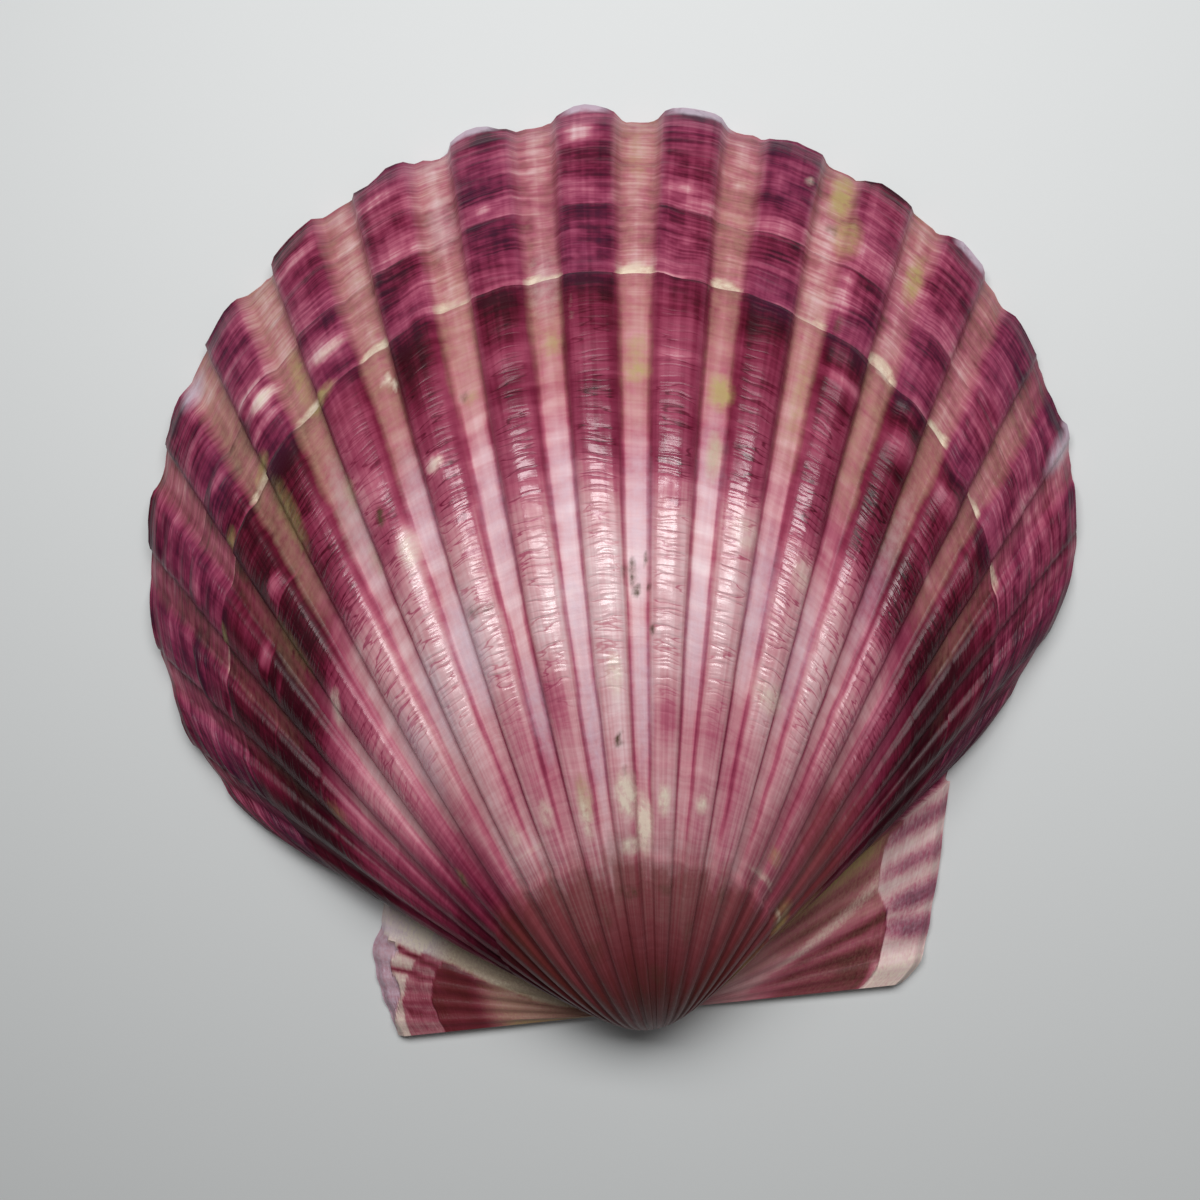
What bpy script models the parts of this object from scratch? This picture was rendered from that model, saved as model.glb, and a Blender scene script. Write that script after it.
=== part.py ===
"""Single valve of a bay scallop, resting on its margin and ears, outside up.

Lengths are in millimetres until the last step, which turns them to metres. The shell grows as
an equiangular spiral about its hinge line: every growth line is the margin curve, made smaller
and turned up about the hinge. Ribs and growth steps are raised along the surface's own normal.
"""
import math

import bmesh
import bpy
from mathutils import Vector

MM = 0.001

# Plan of the disc: an ellipse in front of the beak, measured at the bottoms of the furrows
DISC_CENTRE_X = 0.3
DISC_CENTRE_Y = 40.0
DISC_HALF_WIDTH = 40.0
DISC_HALF_HEIGHT = 36.8
# Polar angles of the two shoulders, seen from the beak, and how the margin draws in before them
DISC_LEFT_DEG = -61.0
DISC_RIGHT_DEG = 58.5
SHOULDER_SPAN_DEG = 8.5
SHOULDER_DRAW_IN = 0.26
LEFT_SHOULDER_POWER = 3.0
RIGHT_SHOULDER_POWER = 1.9

# Ears: the left one bulges outwards, the right one leans outwards and has a blunt corner
LEFT_EAR_X = 21.7
LEFT_EAR_BULGE = 1.2
LEFT_EAR_RISE = 11.0
RIGHT_EAR_X = 21.7
RIGHT_EAR_SLOPE = 0.33
RIGHT_EAR_BLUNT = 1.1
RIGHT_EAR_BLUNT_RISE = 1.0
EAR_COLUMNS = 6
EAR_GAP_DEG = 1.2
EAR_HEIGHT_SHARE = 0.28
EAR_DROP_SHARE = 0.7

# Growth spiral
SPIRAL_RATE = 1.75
SPIRAL_MAX_TURN_DEG = 95.0
BEAK_SCALE = 0.028
SHEET_LIFT = 1.0
RIM_BAND = 0.03
RIM_DROP = 0.5

# Ribs, counted from the left shoulder to the right one
RIB_COUNT = 19
RIB_SPREAD_CUBIC = 0.111
RIB_SPREAD_SHIFT_DEG = 4.55
RIB_RELIEF_TO_PITCH = 0.17
RIB_RELIEF_GROWTH = 0.9
RIB_FOOT = 0.36
RIB_SHOULDER = 0.22
RIB_SHOULDER_HEIGHT = 0.86

# Growth steps, as shares of the grown size, and the drop past each one
GROWTH_LINES = (0.265, 0.785, 0.868)
GROWTH_DROP = 0.3
GROWTH_FADE = 0.035
GROWTH_EDGE = 0.003

# Rows of the two sheets: growing by a ratio near the beak, by even steps after that
NORMAL_NUDGE = 0.02
ROW_RATIO = 1.32
ROW_SWITCH_SCALE = 0.45
ROW_STEPS = 8
ROW_CLEARANCE = 0.02
FLANK_SMOOTH_RIBS = 1.5

# Hollow inside the valve
HOLLOW_RATE = 1.69
HOLLOW_SETBACK = 3.0
HOLLOW_RIM = 1.2
HOLLOW_MAX_TURN_DEG = 65.0
HOLLOW_SIDE_RIB = 0.4
HOLLOW_OVERRUN = 1.05
HOLLOW_DEPTH_BELOW = 3.0
HOLLOW_PLAIN_SCALE = 0.55
HOLLOW_PLAIN_RELIEF = 0.15
HOLLOW_BEAK_SCALE = 0.03
HOLLOW_ROW_RATIO = 1.5
HOLLOW_SWITCH_SCALE = 0.5
HOLLOW_ROW_STEPS = 6

SHELL_COLOUR = (0.36, 0.09, 0.16, 1.0)
SHELL_ROUGHNESS = 0.42


def remove_everything():
    """Empty the file."""
    for thing in list(bpy.data.objects):
        bpy.data.objects.remove(thing, do_unlink=True)
    for group in list(bpy.data.collections):
        bpy.data.collections.remove(group)


def ramp(low, high, value):
    """Smooth rise from 0 at low to 1 at high."""
    share = min(max((value - low) / (high - low), 0.0), 1.0)
    return share * share * (3.0 - 2.0 * share)


def rib_angle(rib):
    """Polar angle in degrees of a place counted in ribs across the disc."""
    across = 2.0 * rib / RIB_COUNT - 1.0
    middle = 0.5 * (DISC_LEFT_DEG + DISC_RIGHT_DEG)
    half_span = 0.5 * (DISC_RIGHT_DEG - DISC_LEFT_DEG)
    spread = half_span / (1.0 - RIB_SPREAD_CUBIC)
    bend = RIB_SPREAD_SHIFT_DEG * (1.0 - across * across)
    return middle + spread * (across - RIB_SPREAD_CUBIC * across ** 3) + bend


def disc_reach(angle_deg):
    """Distance from the beak to the disc's margin at a polar angle."""
    sine = math.sin(math.radians(angle_deg))
    cosine = math.cos(math.radians(angle_deg))
    square = (sine / DISC_HALF_WIDTH) ** 2 + (cosine / DISC_HALF_HEIGHT) ** 2
    linear = sine * DISC_CENTRE_X / DISC_HALF_WIDTH ** 2 + cosine * DISC_CENTRE_Y / DISC_HALF_HEIGHT ** 2
    constant = (DISC_CENTRE_X / DISC_HALF_WIDTH) ** 2 + (DISC_CENTRE_Y / DISC_HALF_HEIGHT) ** 2 - 1.0
    reach = (linear + math.sqrt(max(linear * linear - square * constant, 0.0))) / square
    if angle_deg < 0.0:
        past = (DISC_LEFT_DEG + SHOULDER_SPAN_DEG - angle_deg) / SHOULDER_SPAN_DEG
        power = LEFT_SHOULDER_POWER
    else:
        past = (angle_deg - DISC_RIGHT_DEG + SHOULDER_SPAN_DEG) / SHOULDER_SPAN_DEG
        power = RIGHT_SHOULDER_POWER
    return reach * (1.0 - SHOULDER_DRAW_IN * max(past, 0.0) ** power)


def disc_margin(rib, inset):
    """Margin point of the disc in plan, drawn in by an inset."""
    angle = rib_angle(rib)
    reach = disc_reach(angle) - inset
    return reach * math.sin(math.radians(angle)), reach * math.cos(math.radians(angle))


def ear_margin(angle_deg):
    """Margin point of an ear in plan; negative angles are the left ear."""
    rise = 1.0 / math.tan(math.radians(abs(angle_deg)))
    if angle_deg < 0.0:
        bulge = math.sin(math.pi * min(LEFT_EAR_X * rise / LEFT_EAR_RISE, 1.0))
        across = LEFT_EAR_X + LEFT_EAR_BULGE * bulge
        return -across, across * rise
    across = RIGHT_EAR_X / (1.0 - RIGHT_EAR_SLOPE * rise)
    across -= RIGHT_EAR_BLUNT * math.exp(-across * rise / RIGHT_EAR_BLUNT_RISE)
    return across, across * rise


def turn_at(scale, rate, limit_deg):
    """Angle the spiral has turned through when the shell was this share of its size."""
    return min(-math.log(scale) / rate, math.radians(limit_deg))


def growth_drop(scale):
    """How far the surface lies below the plain spiral just past each growth line."""
    drop = 0.0
    for line in GROWTH_LINES:
        if scale > line:
            drop += GROWTH_DROP * math.exp(-(scale - line) / GROWTH_FADE)
    return drop


def spiral_point(margin, scale, turn):
    """Where a margin point lay when the shell was this share of its size."""
    across = margin[0] * scale
    forward = margin[1] * scale * math.cos(turn)
    up = margin[1] * scale * math.sin(turn)
    return Vector((across, forward, up))


def outer_disc_point(rib, scale):
    """Point of the smooth outside of the disc, before ribs are raised on it."""
    return spiral_point(disc_margin(rib, 0.0), scale, turn_at(scale, SPIRAL_RATE, SPIRAL_MAX_TURN_DEG))


def inner_disc_point(rib, scale):
    """Point of the smooth inside of the disc: a rounder spiral that starts in front of the beak."""
    across, forward = disc_margin(rib, HOLLOW_RIM)
    turn = turn_at(scale, HOLLOW_RATE, HOLLOW_MAX_TURN_DEG)
    point = spiral_point((across, forward - HOLLOW_SETBACK), scale, turn)
    point.y += HOLLOW_SETBACK
    return point


def outward_normal(surface, rib, scale):
    """Outward normal of one of the two smooth surfaces."""
    left = surface(rib - NORMAL_NUDGE, scale)
    right = surface(rib + NORMAL_NUDGE, scale)
    young = surface(rib, scale * (1.0 - NORMAL_NUDGE))
    old = surface(rib, scale * (1.0 + NORMAL_NUDGE))
    return (right - left).cross(old - young).normalized()


def rib_relief(rib, scale):
    """Height of a full rib over its furrows: wider ribs stand higher."""
    return RIB_RELIEF_TO_PITCH * rib_pitch(rib) * scale ** RIB_RELIEF_GROWTH


def rib_pitch(rib):
    """Width of one rib and its furrow at the margin, measured across the rays."""
    half = 0.5
    turn = math.radians(rib_angle(min(rib + half, RIB_COUNT)) - rib_angle(max(rib - half, 0.0)))
    return disc_reach(rib_angle(rib)) * turn


def rib_columns():
    """Places across the disc, in ribs, with the share of the rib's height each one carries."""
    columns = [(0.0, 0.0)]
    profile = (
        (-RIB_FOOT, 0.0),
        (-RIB_SHOULDER, RIB_SHOULDER_HEIGHT),
        (0.0, 1.0),
        (RIB_SHOULDER, RIB_SHOULDER_HEIGHT),
        (RIB_FOOT, 0.0),
    )
    for number in range(RIB_COUNT):
        for offset, height in profile:
            columns.append((number + 0.5 + offset, height))
    columns.append((float(RIB_COUNT), 0.0))
    return columns


def growth_rows():
    """Growth stages from the beak to the margin: even ratios first, then even steps."""
    rows = []
    scale = BEAK_SCALE
    while scale < ROW_SWITCH_SCALE:
        rows.append(scale)
        scale *= ROW_RATIO
    start = scale
    end = 1.0 - RIM_BAND
    for number in range(ROW_STEPS + 1):
        rows.append(start + (end - start) * number / ROW_STEPS)
    rows.append(1.0)
    kept = [row for row in rows if min(abs(row - line) for line in GROWTH_LINES) > ROW_CLEARANCE]
    for line in GROWTH_LINES:
        kept.append(line - GROWTH_EDGE)
        kept.append(line + GROWTH_EDGE)
    return sorted(kept)


def outer_point(column, scale):
    """Point of the outside: an ear place or a rib place at one growth stage."""
    kind, place, share = column
    lift = SHEET_LIFT - RIM_DROP * ramp(1.0 - RIM_BAND, 1.0, scale)
    if kind == "ear":
        point = spiral_point(ear_margin(place), scale, turn_at(scale, SPIRAL_RATE, SPIRAL_MAX_TURN_DEG))
        point.z *= EAR_HEIGHT_SHARE
        return point + Vector((0.0, 0.0, lift - EAR_DROP_SHARE * growth_drop(scale)))
    point = outer_disc_point(place, scale)
    normal = outward_normal(outer_disc_point, place, scale)
    away_from_beak = ramp(BEAK_SCALE, 3.0 * BEAK_SCALE, scale)
    raised = share * rib_relief(place, scale) * away_from_beak
    off_flanks = ramp(0.0, FLANK_SMOOTH_RIBS, place) * ramp(0.0, FLANK_SMOOTH_RIBS, RIB_COUNT - place)
    raised -= growth_drop(scale) * off_flanks
    return point + normal * raised + Vector((0.0, 0.0, lift))


def outer_columns():
    """All places across the valve, from the left end of the hinge to the right end."""
    columns = []
    for number in range(EAR_COLUMNS + 1):
        start, end = -90.0, DISC_LEFT_DEG - EAR_GAP_DEG
        columns.append(("ear", start + (end - start) * number / EAR_COLUMNS, 0.0))
    for place, share in rib_columns():
        columns.append(("disc", place, share))
    for number in range(EAR_COLUMNS + 1):
        start, end = DISC_RIGHT_DEG + EAR_GAP_DEG, 90.0
        columns.append(("ear", start + (end - start) * number / EAR_COLUMNS, 0.0))
    return columns


def mapped_sheet(columns, rows, place, beak):
    """Grid whose crossings are moved to place(column, row), gathered to a point at the beak."""
    sheet = bmesh.new()
    wide, tall = len(columns) - 1, len(rows) - 1
    bmesh.ops.create_grid(sheet, x_segments=wide, y_segments=tall, size=0.5)
    beak_row = []
    for vert in sheet.verts:
        column = round((vert.co.x + 0.5) * wide)
        row = round((vert.co.y + 0.5) * tall)
        if row == 0:
            beak_row.append(vert)
        vert.co = place(columns[column], rows[row])
    bmesh.ops.pointmerge(sheet, verts=beak_row, merge_co=beak)
    return sheet


def close_downwards(sheet, floor):
    """Drop the sheet's edge to a level floor and close it there."""
    edge_loop = [edge for edge in sheet.edges if edge.is_boundary]
    dropped = bmesh.ops.extrude_edge_only(sheet, edges=edge_loop)["geom"]
    for vert in dropped:
        if isinstance(vert, bmesh.types.BMVert):
            vert.co.z = floor
    bmesh.ops.contextual_create(sheet, geom=[item for item in dropped if isinstance(item, bmesh.types.BMEdge)])
    bmesh.ops.recalc_face_normals(sheet, faces=sheet.faces)
    bmesh.ops.triangulate(sheet, faces=sheet.faces, quad_method="BEAUTY", ngon_method="EAR_CLIP")


def hollow_point(column, scale):
    """Point of the inside surface at one growth stage."""
    place, share = column
    point = inner_disc_point(place, scale)
    normal = outward_normal(inner_disc_point, place, scale)
    plain = HOLLOW_PLAIN_RELIEF + (1.0 - HOLLOW_PLAIN_RELIEF) * ramp(HOLLOW_PLAIN_SCALE, 1.0, scale)
    return point + normal * share * rib_relief(place, scale) * plain


def hollow_columns():
    """Places across the hollow, kept off the two flanks."""
    columns = [(HOLLOW_SIDE_RIB, 0.0)]
    for place, share in rib_columns():
        if HOLLOW_SIDE_RIB < place < RIB_COUNT - HOLLOW_SIDE_RIB and share < 1.0:
            columns.append((place, share))
    columns.append((RIB_COUNT - HOLLOW_SIDE_RIB, 0.0))
    return columns


def hollow_rows():
    """Growth stages of the inside surface, run on past the margin."""
    rows = []
    scale = HOLLOW_BEAK_SCALE
    while scale < HOLLOW_SWITCH_SCALE:
        rows.append(scale)
        scale *= HOLLOW_ROW_RATIO
    for number in range(HOLLOW_ROW_STEPS + 1):
        rows.append(scale + (HOLLOW_OVERRUN - scale) * number / HOLLOW_ROW_STEPS)
    return rows


def to_object(name, sheet, collection):
    """Turn a working mesh into an object of metres."""
    bmesh.ops.scale(sheet, vec=(MM, MM, MM), verts=sheet.verts)
    data = bpy.data.meshes.new(name)
    sheet.to_mesh(data)
    sheet.free()
    made = bpy.data.objects.new(name, data)
    collection.objects.link(made)
    return made


def shell_material():
    """Plum and pink calcite with a soft gloss."""
    material = bpy.data.materials.new("shell_calcite")
    material.use_nodes = True
    shader = material.node_tree.nodes["Principled BSDF"]
    shader.inputs["Base Color"].default_value = SHELL_COLOUR
    shader.inputs["Roughness"].default_value = SHELL_ROUGHNESS
    return material


def build_valve():
    """The one piece: a ribbed, eared valve with its hollow underneath."""
    parts = bpy.data.collections.new("bay_scallop_shell")
    cutters = bpy.data.collections.new("cutters")
    bpy.context.scene.collection.children.link(parts)
    bpy.context.scene.collection.children.link(cutters)

    outside = mapped_sheet(outer_columns(), growth_rows(), outer_point, Vector((0.0, 0.0, SHEET_LIFT)))
    close_downwards(outside, 0.0)
    valve = to_object("valve", outside, parts)

    inner_beak = Vector((0.0, HOLLOW_SETBACK, 0.0))
    inside = mapped_sheet(hollow_columns(), hollow_rows(), hollow_point, inner_beak)
    close_downwards(inside, -HOLLOW_DEPTH_BELOW)
    hollow = to_object("hollow_cutter", inside, cutters)

    cut = valve.modifiers.new("hollow", "BOOLEAN")
    cut.operation = "DIFFERENCE"
    cut.solver = "EXACT"
    cut.object = hollow
    bpy.context.view_layer.update()
    finished = bpy.data.meshes.new_from_object(valve.evaluated_get(bpy.context.evaluated_depsgraph_get()))
    valve.modifiers.remove(cut)
    valve.data = finished
    finished.name = "valve"
    bpy.data.objects.remove(hollow, do_unlink=True)

    low = [min(vert.co[axis] for vert in finished.vertices) for axis in range(3)]
    high = [max(vert.co[axis] for vert in finished.vertices) for axis in range(3)]
    for vert in finished.vertices:
        vert.co.x -= 0.5 * (low[0] + high[0])
        vert.co.y -= 0.5 * (low[1] + high[1])
    finished.materials.clear()
    finished.materials.append(shell_material())
    return valve


remove_everything()
build_valve()
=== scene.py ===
"""Looks of one valve of a bay scallop, lying outside up on a plain pale table.

Shapes are worked out in millimetres from the beak, where the shell began to grow, and turned to
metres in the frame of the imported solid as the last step.
"""
import math

import bmesh
import bpy
import numpy as np
from mathutils import Matrix, Vector


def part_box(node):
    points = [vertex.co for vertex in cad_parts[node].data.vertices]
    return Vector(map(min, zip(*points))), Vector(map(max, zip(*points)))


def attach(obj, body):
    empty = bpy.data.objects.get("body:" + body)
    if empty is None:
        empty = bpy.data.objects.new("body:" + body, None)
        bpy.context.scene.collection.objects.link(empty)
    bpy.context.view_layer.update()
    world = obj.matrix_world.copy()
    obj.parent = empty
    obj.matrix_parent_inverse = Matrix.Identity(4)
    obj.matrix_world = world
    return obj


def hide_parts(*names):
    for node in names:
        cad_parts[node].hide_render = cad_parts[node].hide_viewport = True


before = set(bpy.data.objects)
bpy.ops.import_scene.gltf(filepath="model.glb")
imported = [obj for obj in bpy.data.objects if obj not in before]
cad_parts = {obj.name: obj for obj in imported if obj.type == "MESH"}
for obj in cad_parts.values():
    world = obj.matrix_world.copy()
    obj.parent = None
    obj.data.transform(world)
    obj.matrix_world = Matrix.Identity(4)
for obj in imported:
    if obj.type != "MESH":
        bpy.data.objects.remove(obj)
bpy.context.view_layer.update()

# Plan of the margin
# The valve's edge as seen from above: a wide disc of nineteen ribs with an ear on each side of the
# beak. A place along the edge is counted in ribs, 0 to 19, and each ear takes one unit beyond.
MM = 0.001
RIBS = 19
BEAK_FROM_LOW_CORNER = (40.21, 0.378)
DISC_CENTRE = (0.3, 40.0)
DISC_HALF = (40.0, 36.8)
DISC_ENDS_DEG = (-61.0, 58.5)
SHOULDER_SPAN_DEG = 8.5
SHOULDER_DRAW_IN = 0.26
SHOULDER_POWERS = (3.0, 1.9)
RIB_SPREAD_CUBIC = 0.111
RIB_SPREAD_SHIFT_DEG = 4.55
EAR_REACH = 21.7
LEFT_EAR_BULGE = 1.2
LEFT_EAR_RISE = 11.0
RIGHT_EAR_SLOPE = 0.33
RIGHT_EAR_BLUNT = 1.1
EAR_GAP_DEG = 1.2
FLANK_FOOT = 0.12


def rise(low, high, value):
    """Smooth rise from 0 at low to 1 at high."""
    share = np.clip((value - low) / (high - low), 0.0, 1.0)
    return share * share * (3.0 - 2.0 * share)


def rib_angle(rib):
    """Polar angle in degrees, seen from the beak, of a place on the disc."""
    across = 2.0 * rib / RIBS - 1.0
    middle = 0.5 * (DISC_ENDS_DEG[0] + DISC_ENDS_DEG[1])
    spread = 0.5 * (DISC_ENDS_DEG[1] - DISC_ENDS_DEG[0]) / (1.0 - RIB_SPREAD_CUBIC)
    bend = RIB_SPREAD_SHIFT_DEG * (1.0 - across * across)
    return middle + spread * (across - RIB_SPREAD_CUBIC * across ** 3) + bend


def disc_reach(angle_deg):
    """Distance from the beak to the disc's edge: an ellipse that draws in at its shoulders."""
    sine = np.sin(np.radians(angle_deg))
    cosine = np.cos(np.radians(angle_deg))
    square = (sine / DISC_HALF[0]) ** 2 + (cosine / DISC_HALF[1]) ** 2
    linear = sine * DISC_CENTRE[0] / DISC_HALF[0] ** 2 + cosine * DISC_CENTRE[1] / DISC_HALF[1] ** 2
    constant = (DISC_CENTRE[0] / DISC_HALF[0]) ** 2 + (DISC_CENTRE[1] / DISC_HALF[1]) ** 2 - 1.0
    reach = (linear + np.sqrt(np.maximum(linear * linear - square * constant, 0.0))) / square
    past_left = np.maximum((DISC_ENDS_DEG[0] + SHOULDER_SPAN_DEG - angle_deg) / SHOULDER_SPAN_DEG, 0.0)
    past_right = np.maximum((angle_deg - DISC_ENDS_DEG[1] + SHOULDER_SPAN_DEG) / SHOULDER_SPAN_DEG, 0.0)
    drawn = past_left ** SHOULDER_POWERS[0] + past_right ** SHOULDER_POWERS[1]
    return reach * (1.0 - SHOULDER_DRAW_IN * drawn)


def disc_plan(rib, inset):
    """Edge of the disc in plan, drawn in by an inset."""
    angle = rib_angle(rib)
    reach = disc_reach(angle) - inset
    return reach * np.sin(np.radians(angle)), reach * np.cos(np.radians(angle))


def ear_plan(place):
    """Edge of the two ears in plan, from the hinge to the foot of the flank, and its polar angle."""
    left = place < 0.5 * RIBS
    past_foot = np.where(left, -place, place - RIBS) - FLANK_FOOT
    outward = np.clip(past_foot / (1.0 - FLANK_FOOT), 0.0, 1.0)
    foot = np.where(left, -DISC_ENDS_DEG[0] + EAR_GAP_DEG, DISC_ENDS_DEG[1] + EAR_GAP_DEG)
    angle = foot + (90.0 - foot) * outward
    slope = 1.0 / np.tan(np.radians(angle))
    bulge = np.sin(math.pi * np.minimum(EAR_REACH * slope / LEFT_EAR_RISE, 1.0))
    left_x = EAR_REACH + LEFT_EAR_BULGE * bulge
    right_x = EAR_REACH / (1.0 - RIGHT_EAR_SLOPE * slope)
    right_x = right_x - RIGHT_EAR_BLUNT * np.exp(-right_x * slope)
    across = np.where(left, left_x, right_x)
    return np.where(left, -across, across), across * slope, np.where(left, -angle, angle)


def disc_share(place):
    """1 on the disc, 0 on the ears, rising over the foot of each flank."""
    beyond = np.maximum(-place, place - RIBS)
    return 1.0 - np.clip(beyond / FLANK_FOOT, 0.0, 1.0)


# Outside of the valve
# Calcite laid down at the edge as the animal grew. Each older edge is today's edge made smaller
# and turned up about the hinge, which gives the dome, and ribs and growth steps stand on it.
SPIRAL_RATE = 1.75
SPIRAL_MAX_TURN_DEG = 95.0
BEAK_STAGE = 0.028
EAR_HEIGHT_SHARE = 0.28
SHELL_LIFT = 1.0
RIM_BAND = 0.03
RIM_DROP = 0.5
RIB_RELIEF_TO_PITCH = 0.17
RIB_RELIEF_GROWTH = 0.9
RIB_OFFSETS = (
    -0.5, -0.42, -0.37, -0.335, -0.30, -0.265, -0.2, -0.1, 0.0, 0.1, 0.2, 0.265, 0.30, 0.335, 0.37, 0.42,
)
RIB_SHOULDER = 0.245
RIB_FOOT = 0.355
RIB_CROWN = 0.16
EAR_COLUMNS = 28
FLANK_COLUMNS = 4
YOUNG_ROWS = 36
YOUNG_STAGE = 0.14
ADULT_ROWS = 166
RIM_STAGE = 0.93
RIM_ROWS = 26
# Growth stage, drop in millimetres and fade of each growth step
GROWTH_STEPS = (
    (0.265, 0.18, 0.035), (0.345, 0.05, 0.02), (0.43, 0.06, 0.02), (0.51, 0.06, 0.02), (0.585, 0.09, 0.02),
    (0.677, 0.10, 0.02), (0.785, 0.32, 0.035), (0.868, 0.26, 0.03), (0.925, 0.10, 0.02),
)
STEP_EDGE = 0.0014
CLOUD_TABLE = (64, 256)
CLOUD_START = 8.0


def spiral(across, forward, stage, rate, max_turn_deg):
    """Where a point of the edge lay when the shell was this share of its size."""
    turn = np.minimum(-np.log(stage) / rate, math.radians(max_turn_deg))
    reach = forward * stage
    return np.stack([across * stage, reach * np.cos(turn), reach * np.sin(turn)], axis=-1)


def sheet_normals(points):
    """Unit normals of a grid of points, columns by rows, turned to the outside of the dome."""
    across = np.gradient(points, axis=0)
    along = np.gradient(points, axis=1)
    normal = np.cross(across, along)
    return normal / np.maximum(np.linalg.norm(normal, axis=-1, keepdims=True), 1e-9)


def all_places():
    """Places of every column, from the left end of the hinge to the right end."""
    left_ear = np.linspace(-1.0, -FLANK_FOOT, EAR_COLUMNS, endpoint=False)
    left_foot = np.linspace(-FLANK_FOOT, 0.0, FLANK_COLUMNS, endpoint=False)
    disc = [number + 0.5 + offset for number in range(RIBS) for offset in RIB_OFFSETS]
    right_foot = np.linspace(RIBS, RIBS + FLANK_FOOT, FLANK_COLUMNS, endpoint=False)
    right_ear = np.linspace(RIBS + FLANK_FOOT, RIBS + 1.0, EAR_COLUMNS + 1)
    return np.concatenate([left_ear, left_foot, disc, right_foot, right_ear])


def growth_stages():
    """Growth stages of the rows, with a pair of rows drawn to each growth step."""
    young = np.geomspace(BEAK_STAGE, YOUNG_STAGE, YOUNG_ROWS, endpoint=False)
    adult = np.linspace(YOUNG_STAGE, RIM_STAGE, ADULT_ROWS, endpoint=False)
    stages = np.concatenate([young, adult, np.linspace(RIM_STAGE, 1.0, RIM_ROWS)])
    for step, _, _ in GROWTH_STEPS:
        above = int(np.searchsorted(stages, step))
        stages[above - 1], stages[above] = step - STEP_EDGE, step + STEP_EDGE
    return stages


def rib_crest(place):
    """Share of a full rib's height across ribs and furrows: steep sides and a slightly round top."""
    off = np.abs(np.mod(place, 1.0) - 0.5)
    crest = (1.0 - rise(RIB_SHOULDER, RIB_FOOT, off)) * (1.0 - RIB_CROWN * (off / RIB_SHOULDER) ** 2)
    return np.where((place > 0.0) & (place < RIBS), np.maximum(crest, 0.0), 0.0)


def rib_height(place, stage):
    """Height of a full rib in millimetres: wider ribs stand higher."""
    inside = np.clip(place, 0.0, RIBS)
    turn = np.radians(rib_angle(np.minimum(inside + 0.5, RIBS)) - rib_angle(np.maximum(inside - 0.5, 0.0)))
    return RIB_RELIEF_TO_PITCH * disc_reach(rib_angle(inside)) * turn * stage ** RIB_RELIEF_GROWTH


place = all_places()
stage = growth_stages()
place_grid, stage_grid = np.meshgrid(place, stage, indexing="ij")
crest = rib_crest(place)
crest_grid = np.repeat(crest[:, None], len(stage), axis=1)
on_disc = disc_share(place)[:, None]


def since(low, high):
    """Smooth rise from 0 to 1 between two growth stages, or a fall where the first is the later."""
    return rise(low, high, stage_grid)


def cloud(per_rib, per_valve, seed, places=place_grid):
    """Smooth noise from -1 to 1, with so many lumps a rib and so many from the beak to the edge."""
    heights = np.random.RandomState(seed).uniform(-1.0, 1.0, CLOUD_TABLE)
    across, along = places * per_rib + CLOUD_START, stage_grid * per_valve + CLOUD_START
    left, low = np.floor(across).astype(int), np.floor(along).astype(int)
    to_right, to_high = rise(0.0, 1.0, across - left), rise(0.0, 1.0, along - low)

    def level(row):
        row = row % CLOUD_TABLE[1]
        here, beside = heights[left % CLOUD_TABLE[0], row], heights[(left + 1) % CLOUD_TABLE[0], row]
        return here * (1 - to_right) + beside * to_right

    return level(low) * (1 - to_high) + level(low + 1) * to_high


def off_spot(at_place, at_stage, half_place, half_stage):
    """Squared distance from the middle of a spot, in its own half widths."""
    return ((place_grid - at_place) / half_place) ** 2 + ((stage_grid - at_stage) / half_stage) ** 2


ear_x, ear_y, ear_angle = ear_plan(place)
disc_x, disc_y = disc_plan(np.clip(place, 0.0, RIBS), 0.0)
plan_x = ear_x + (disc_x - ear_x) * disc_share(place)
plan_y = ear_y + (disc_y - ear_y) * disc_share(place)
polar = np.where(disc_share(place) > 0.5, rib_angle(np.clip(place, 0.0, RIBS)), ear_angle)

# Growth lines wander a little, reach further in the furrows, and the edge is chipped. Each is a
# share of the growth stage.
WANDER = 0.0045
FINE_WANDER = 0.0018
JAG = 0.0035
FURROW_LEAD = 0.012
FLANK_LEAD = 0.016
CHIP_DEPTH = 0.007
LIP_REACH = 0.009
EAR_WAVE = 0.024
GROWN_MOST = 1.03
# Ribs that end in a thin lilac lip, and its half width
LIPS = ((8.40, 0.26), (9.50, 0.20), (10.55, 0.30), (13.55, 0.22), (15.70, 0.18))
wander = WANDER * cloud(0.7, 7.0, 3) + FINE_WANDER * cloud(2.3, 21.0, 4)
wander = wander * since(0.2, 0.6) * on_disc
wander += JAG * cloud(4.3, 9.0, 7) * since(0.62, 0.76) * on_disc
wander += FURROW_LEAD * (0.5 - crest_grid) * since(0.4, 0.8) * on_disc
at_edge = since(0.985, 1.0)
# On both flanks the furrows almost catch up with the ribs, so the edge is hardly scalloped
flank_lead = FLANK_LEAD * np.maximum(rise(6.5, 3.0, place_grid), 0.6 * rise(14.0, 17.0, place_grid))
wander += flank_lead * (0.35 - crest_grid) * since(0.88, 1.0) * on_disc
chipped = rise(0.15, 0.8, cloud(3.1, 0.0, 5)) + 0.4 * rise(0.1, 0.7, cloud(7.3, 0.0, 6))
wander -= CHIP_DEPTH * at_edge * chipped * on_disc
lip = sum(np.exp(-((place_grid - rib) / half) ** 4) for rib, half in LIPS)
wander += LIP_REACH * lip * at_edge
# The outer edges of the ears are wavy
wander += EAR_WAVE * (0.5 + 0.5 * cloud(7.0, 0.0, 8)) * since(0.92, 1.0) * (1.0 - on_disc)
grown = np.minimum(stage_grid * (1.0 + wander), GROWN_MOST)

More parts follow.
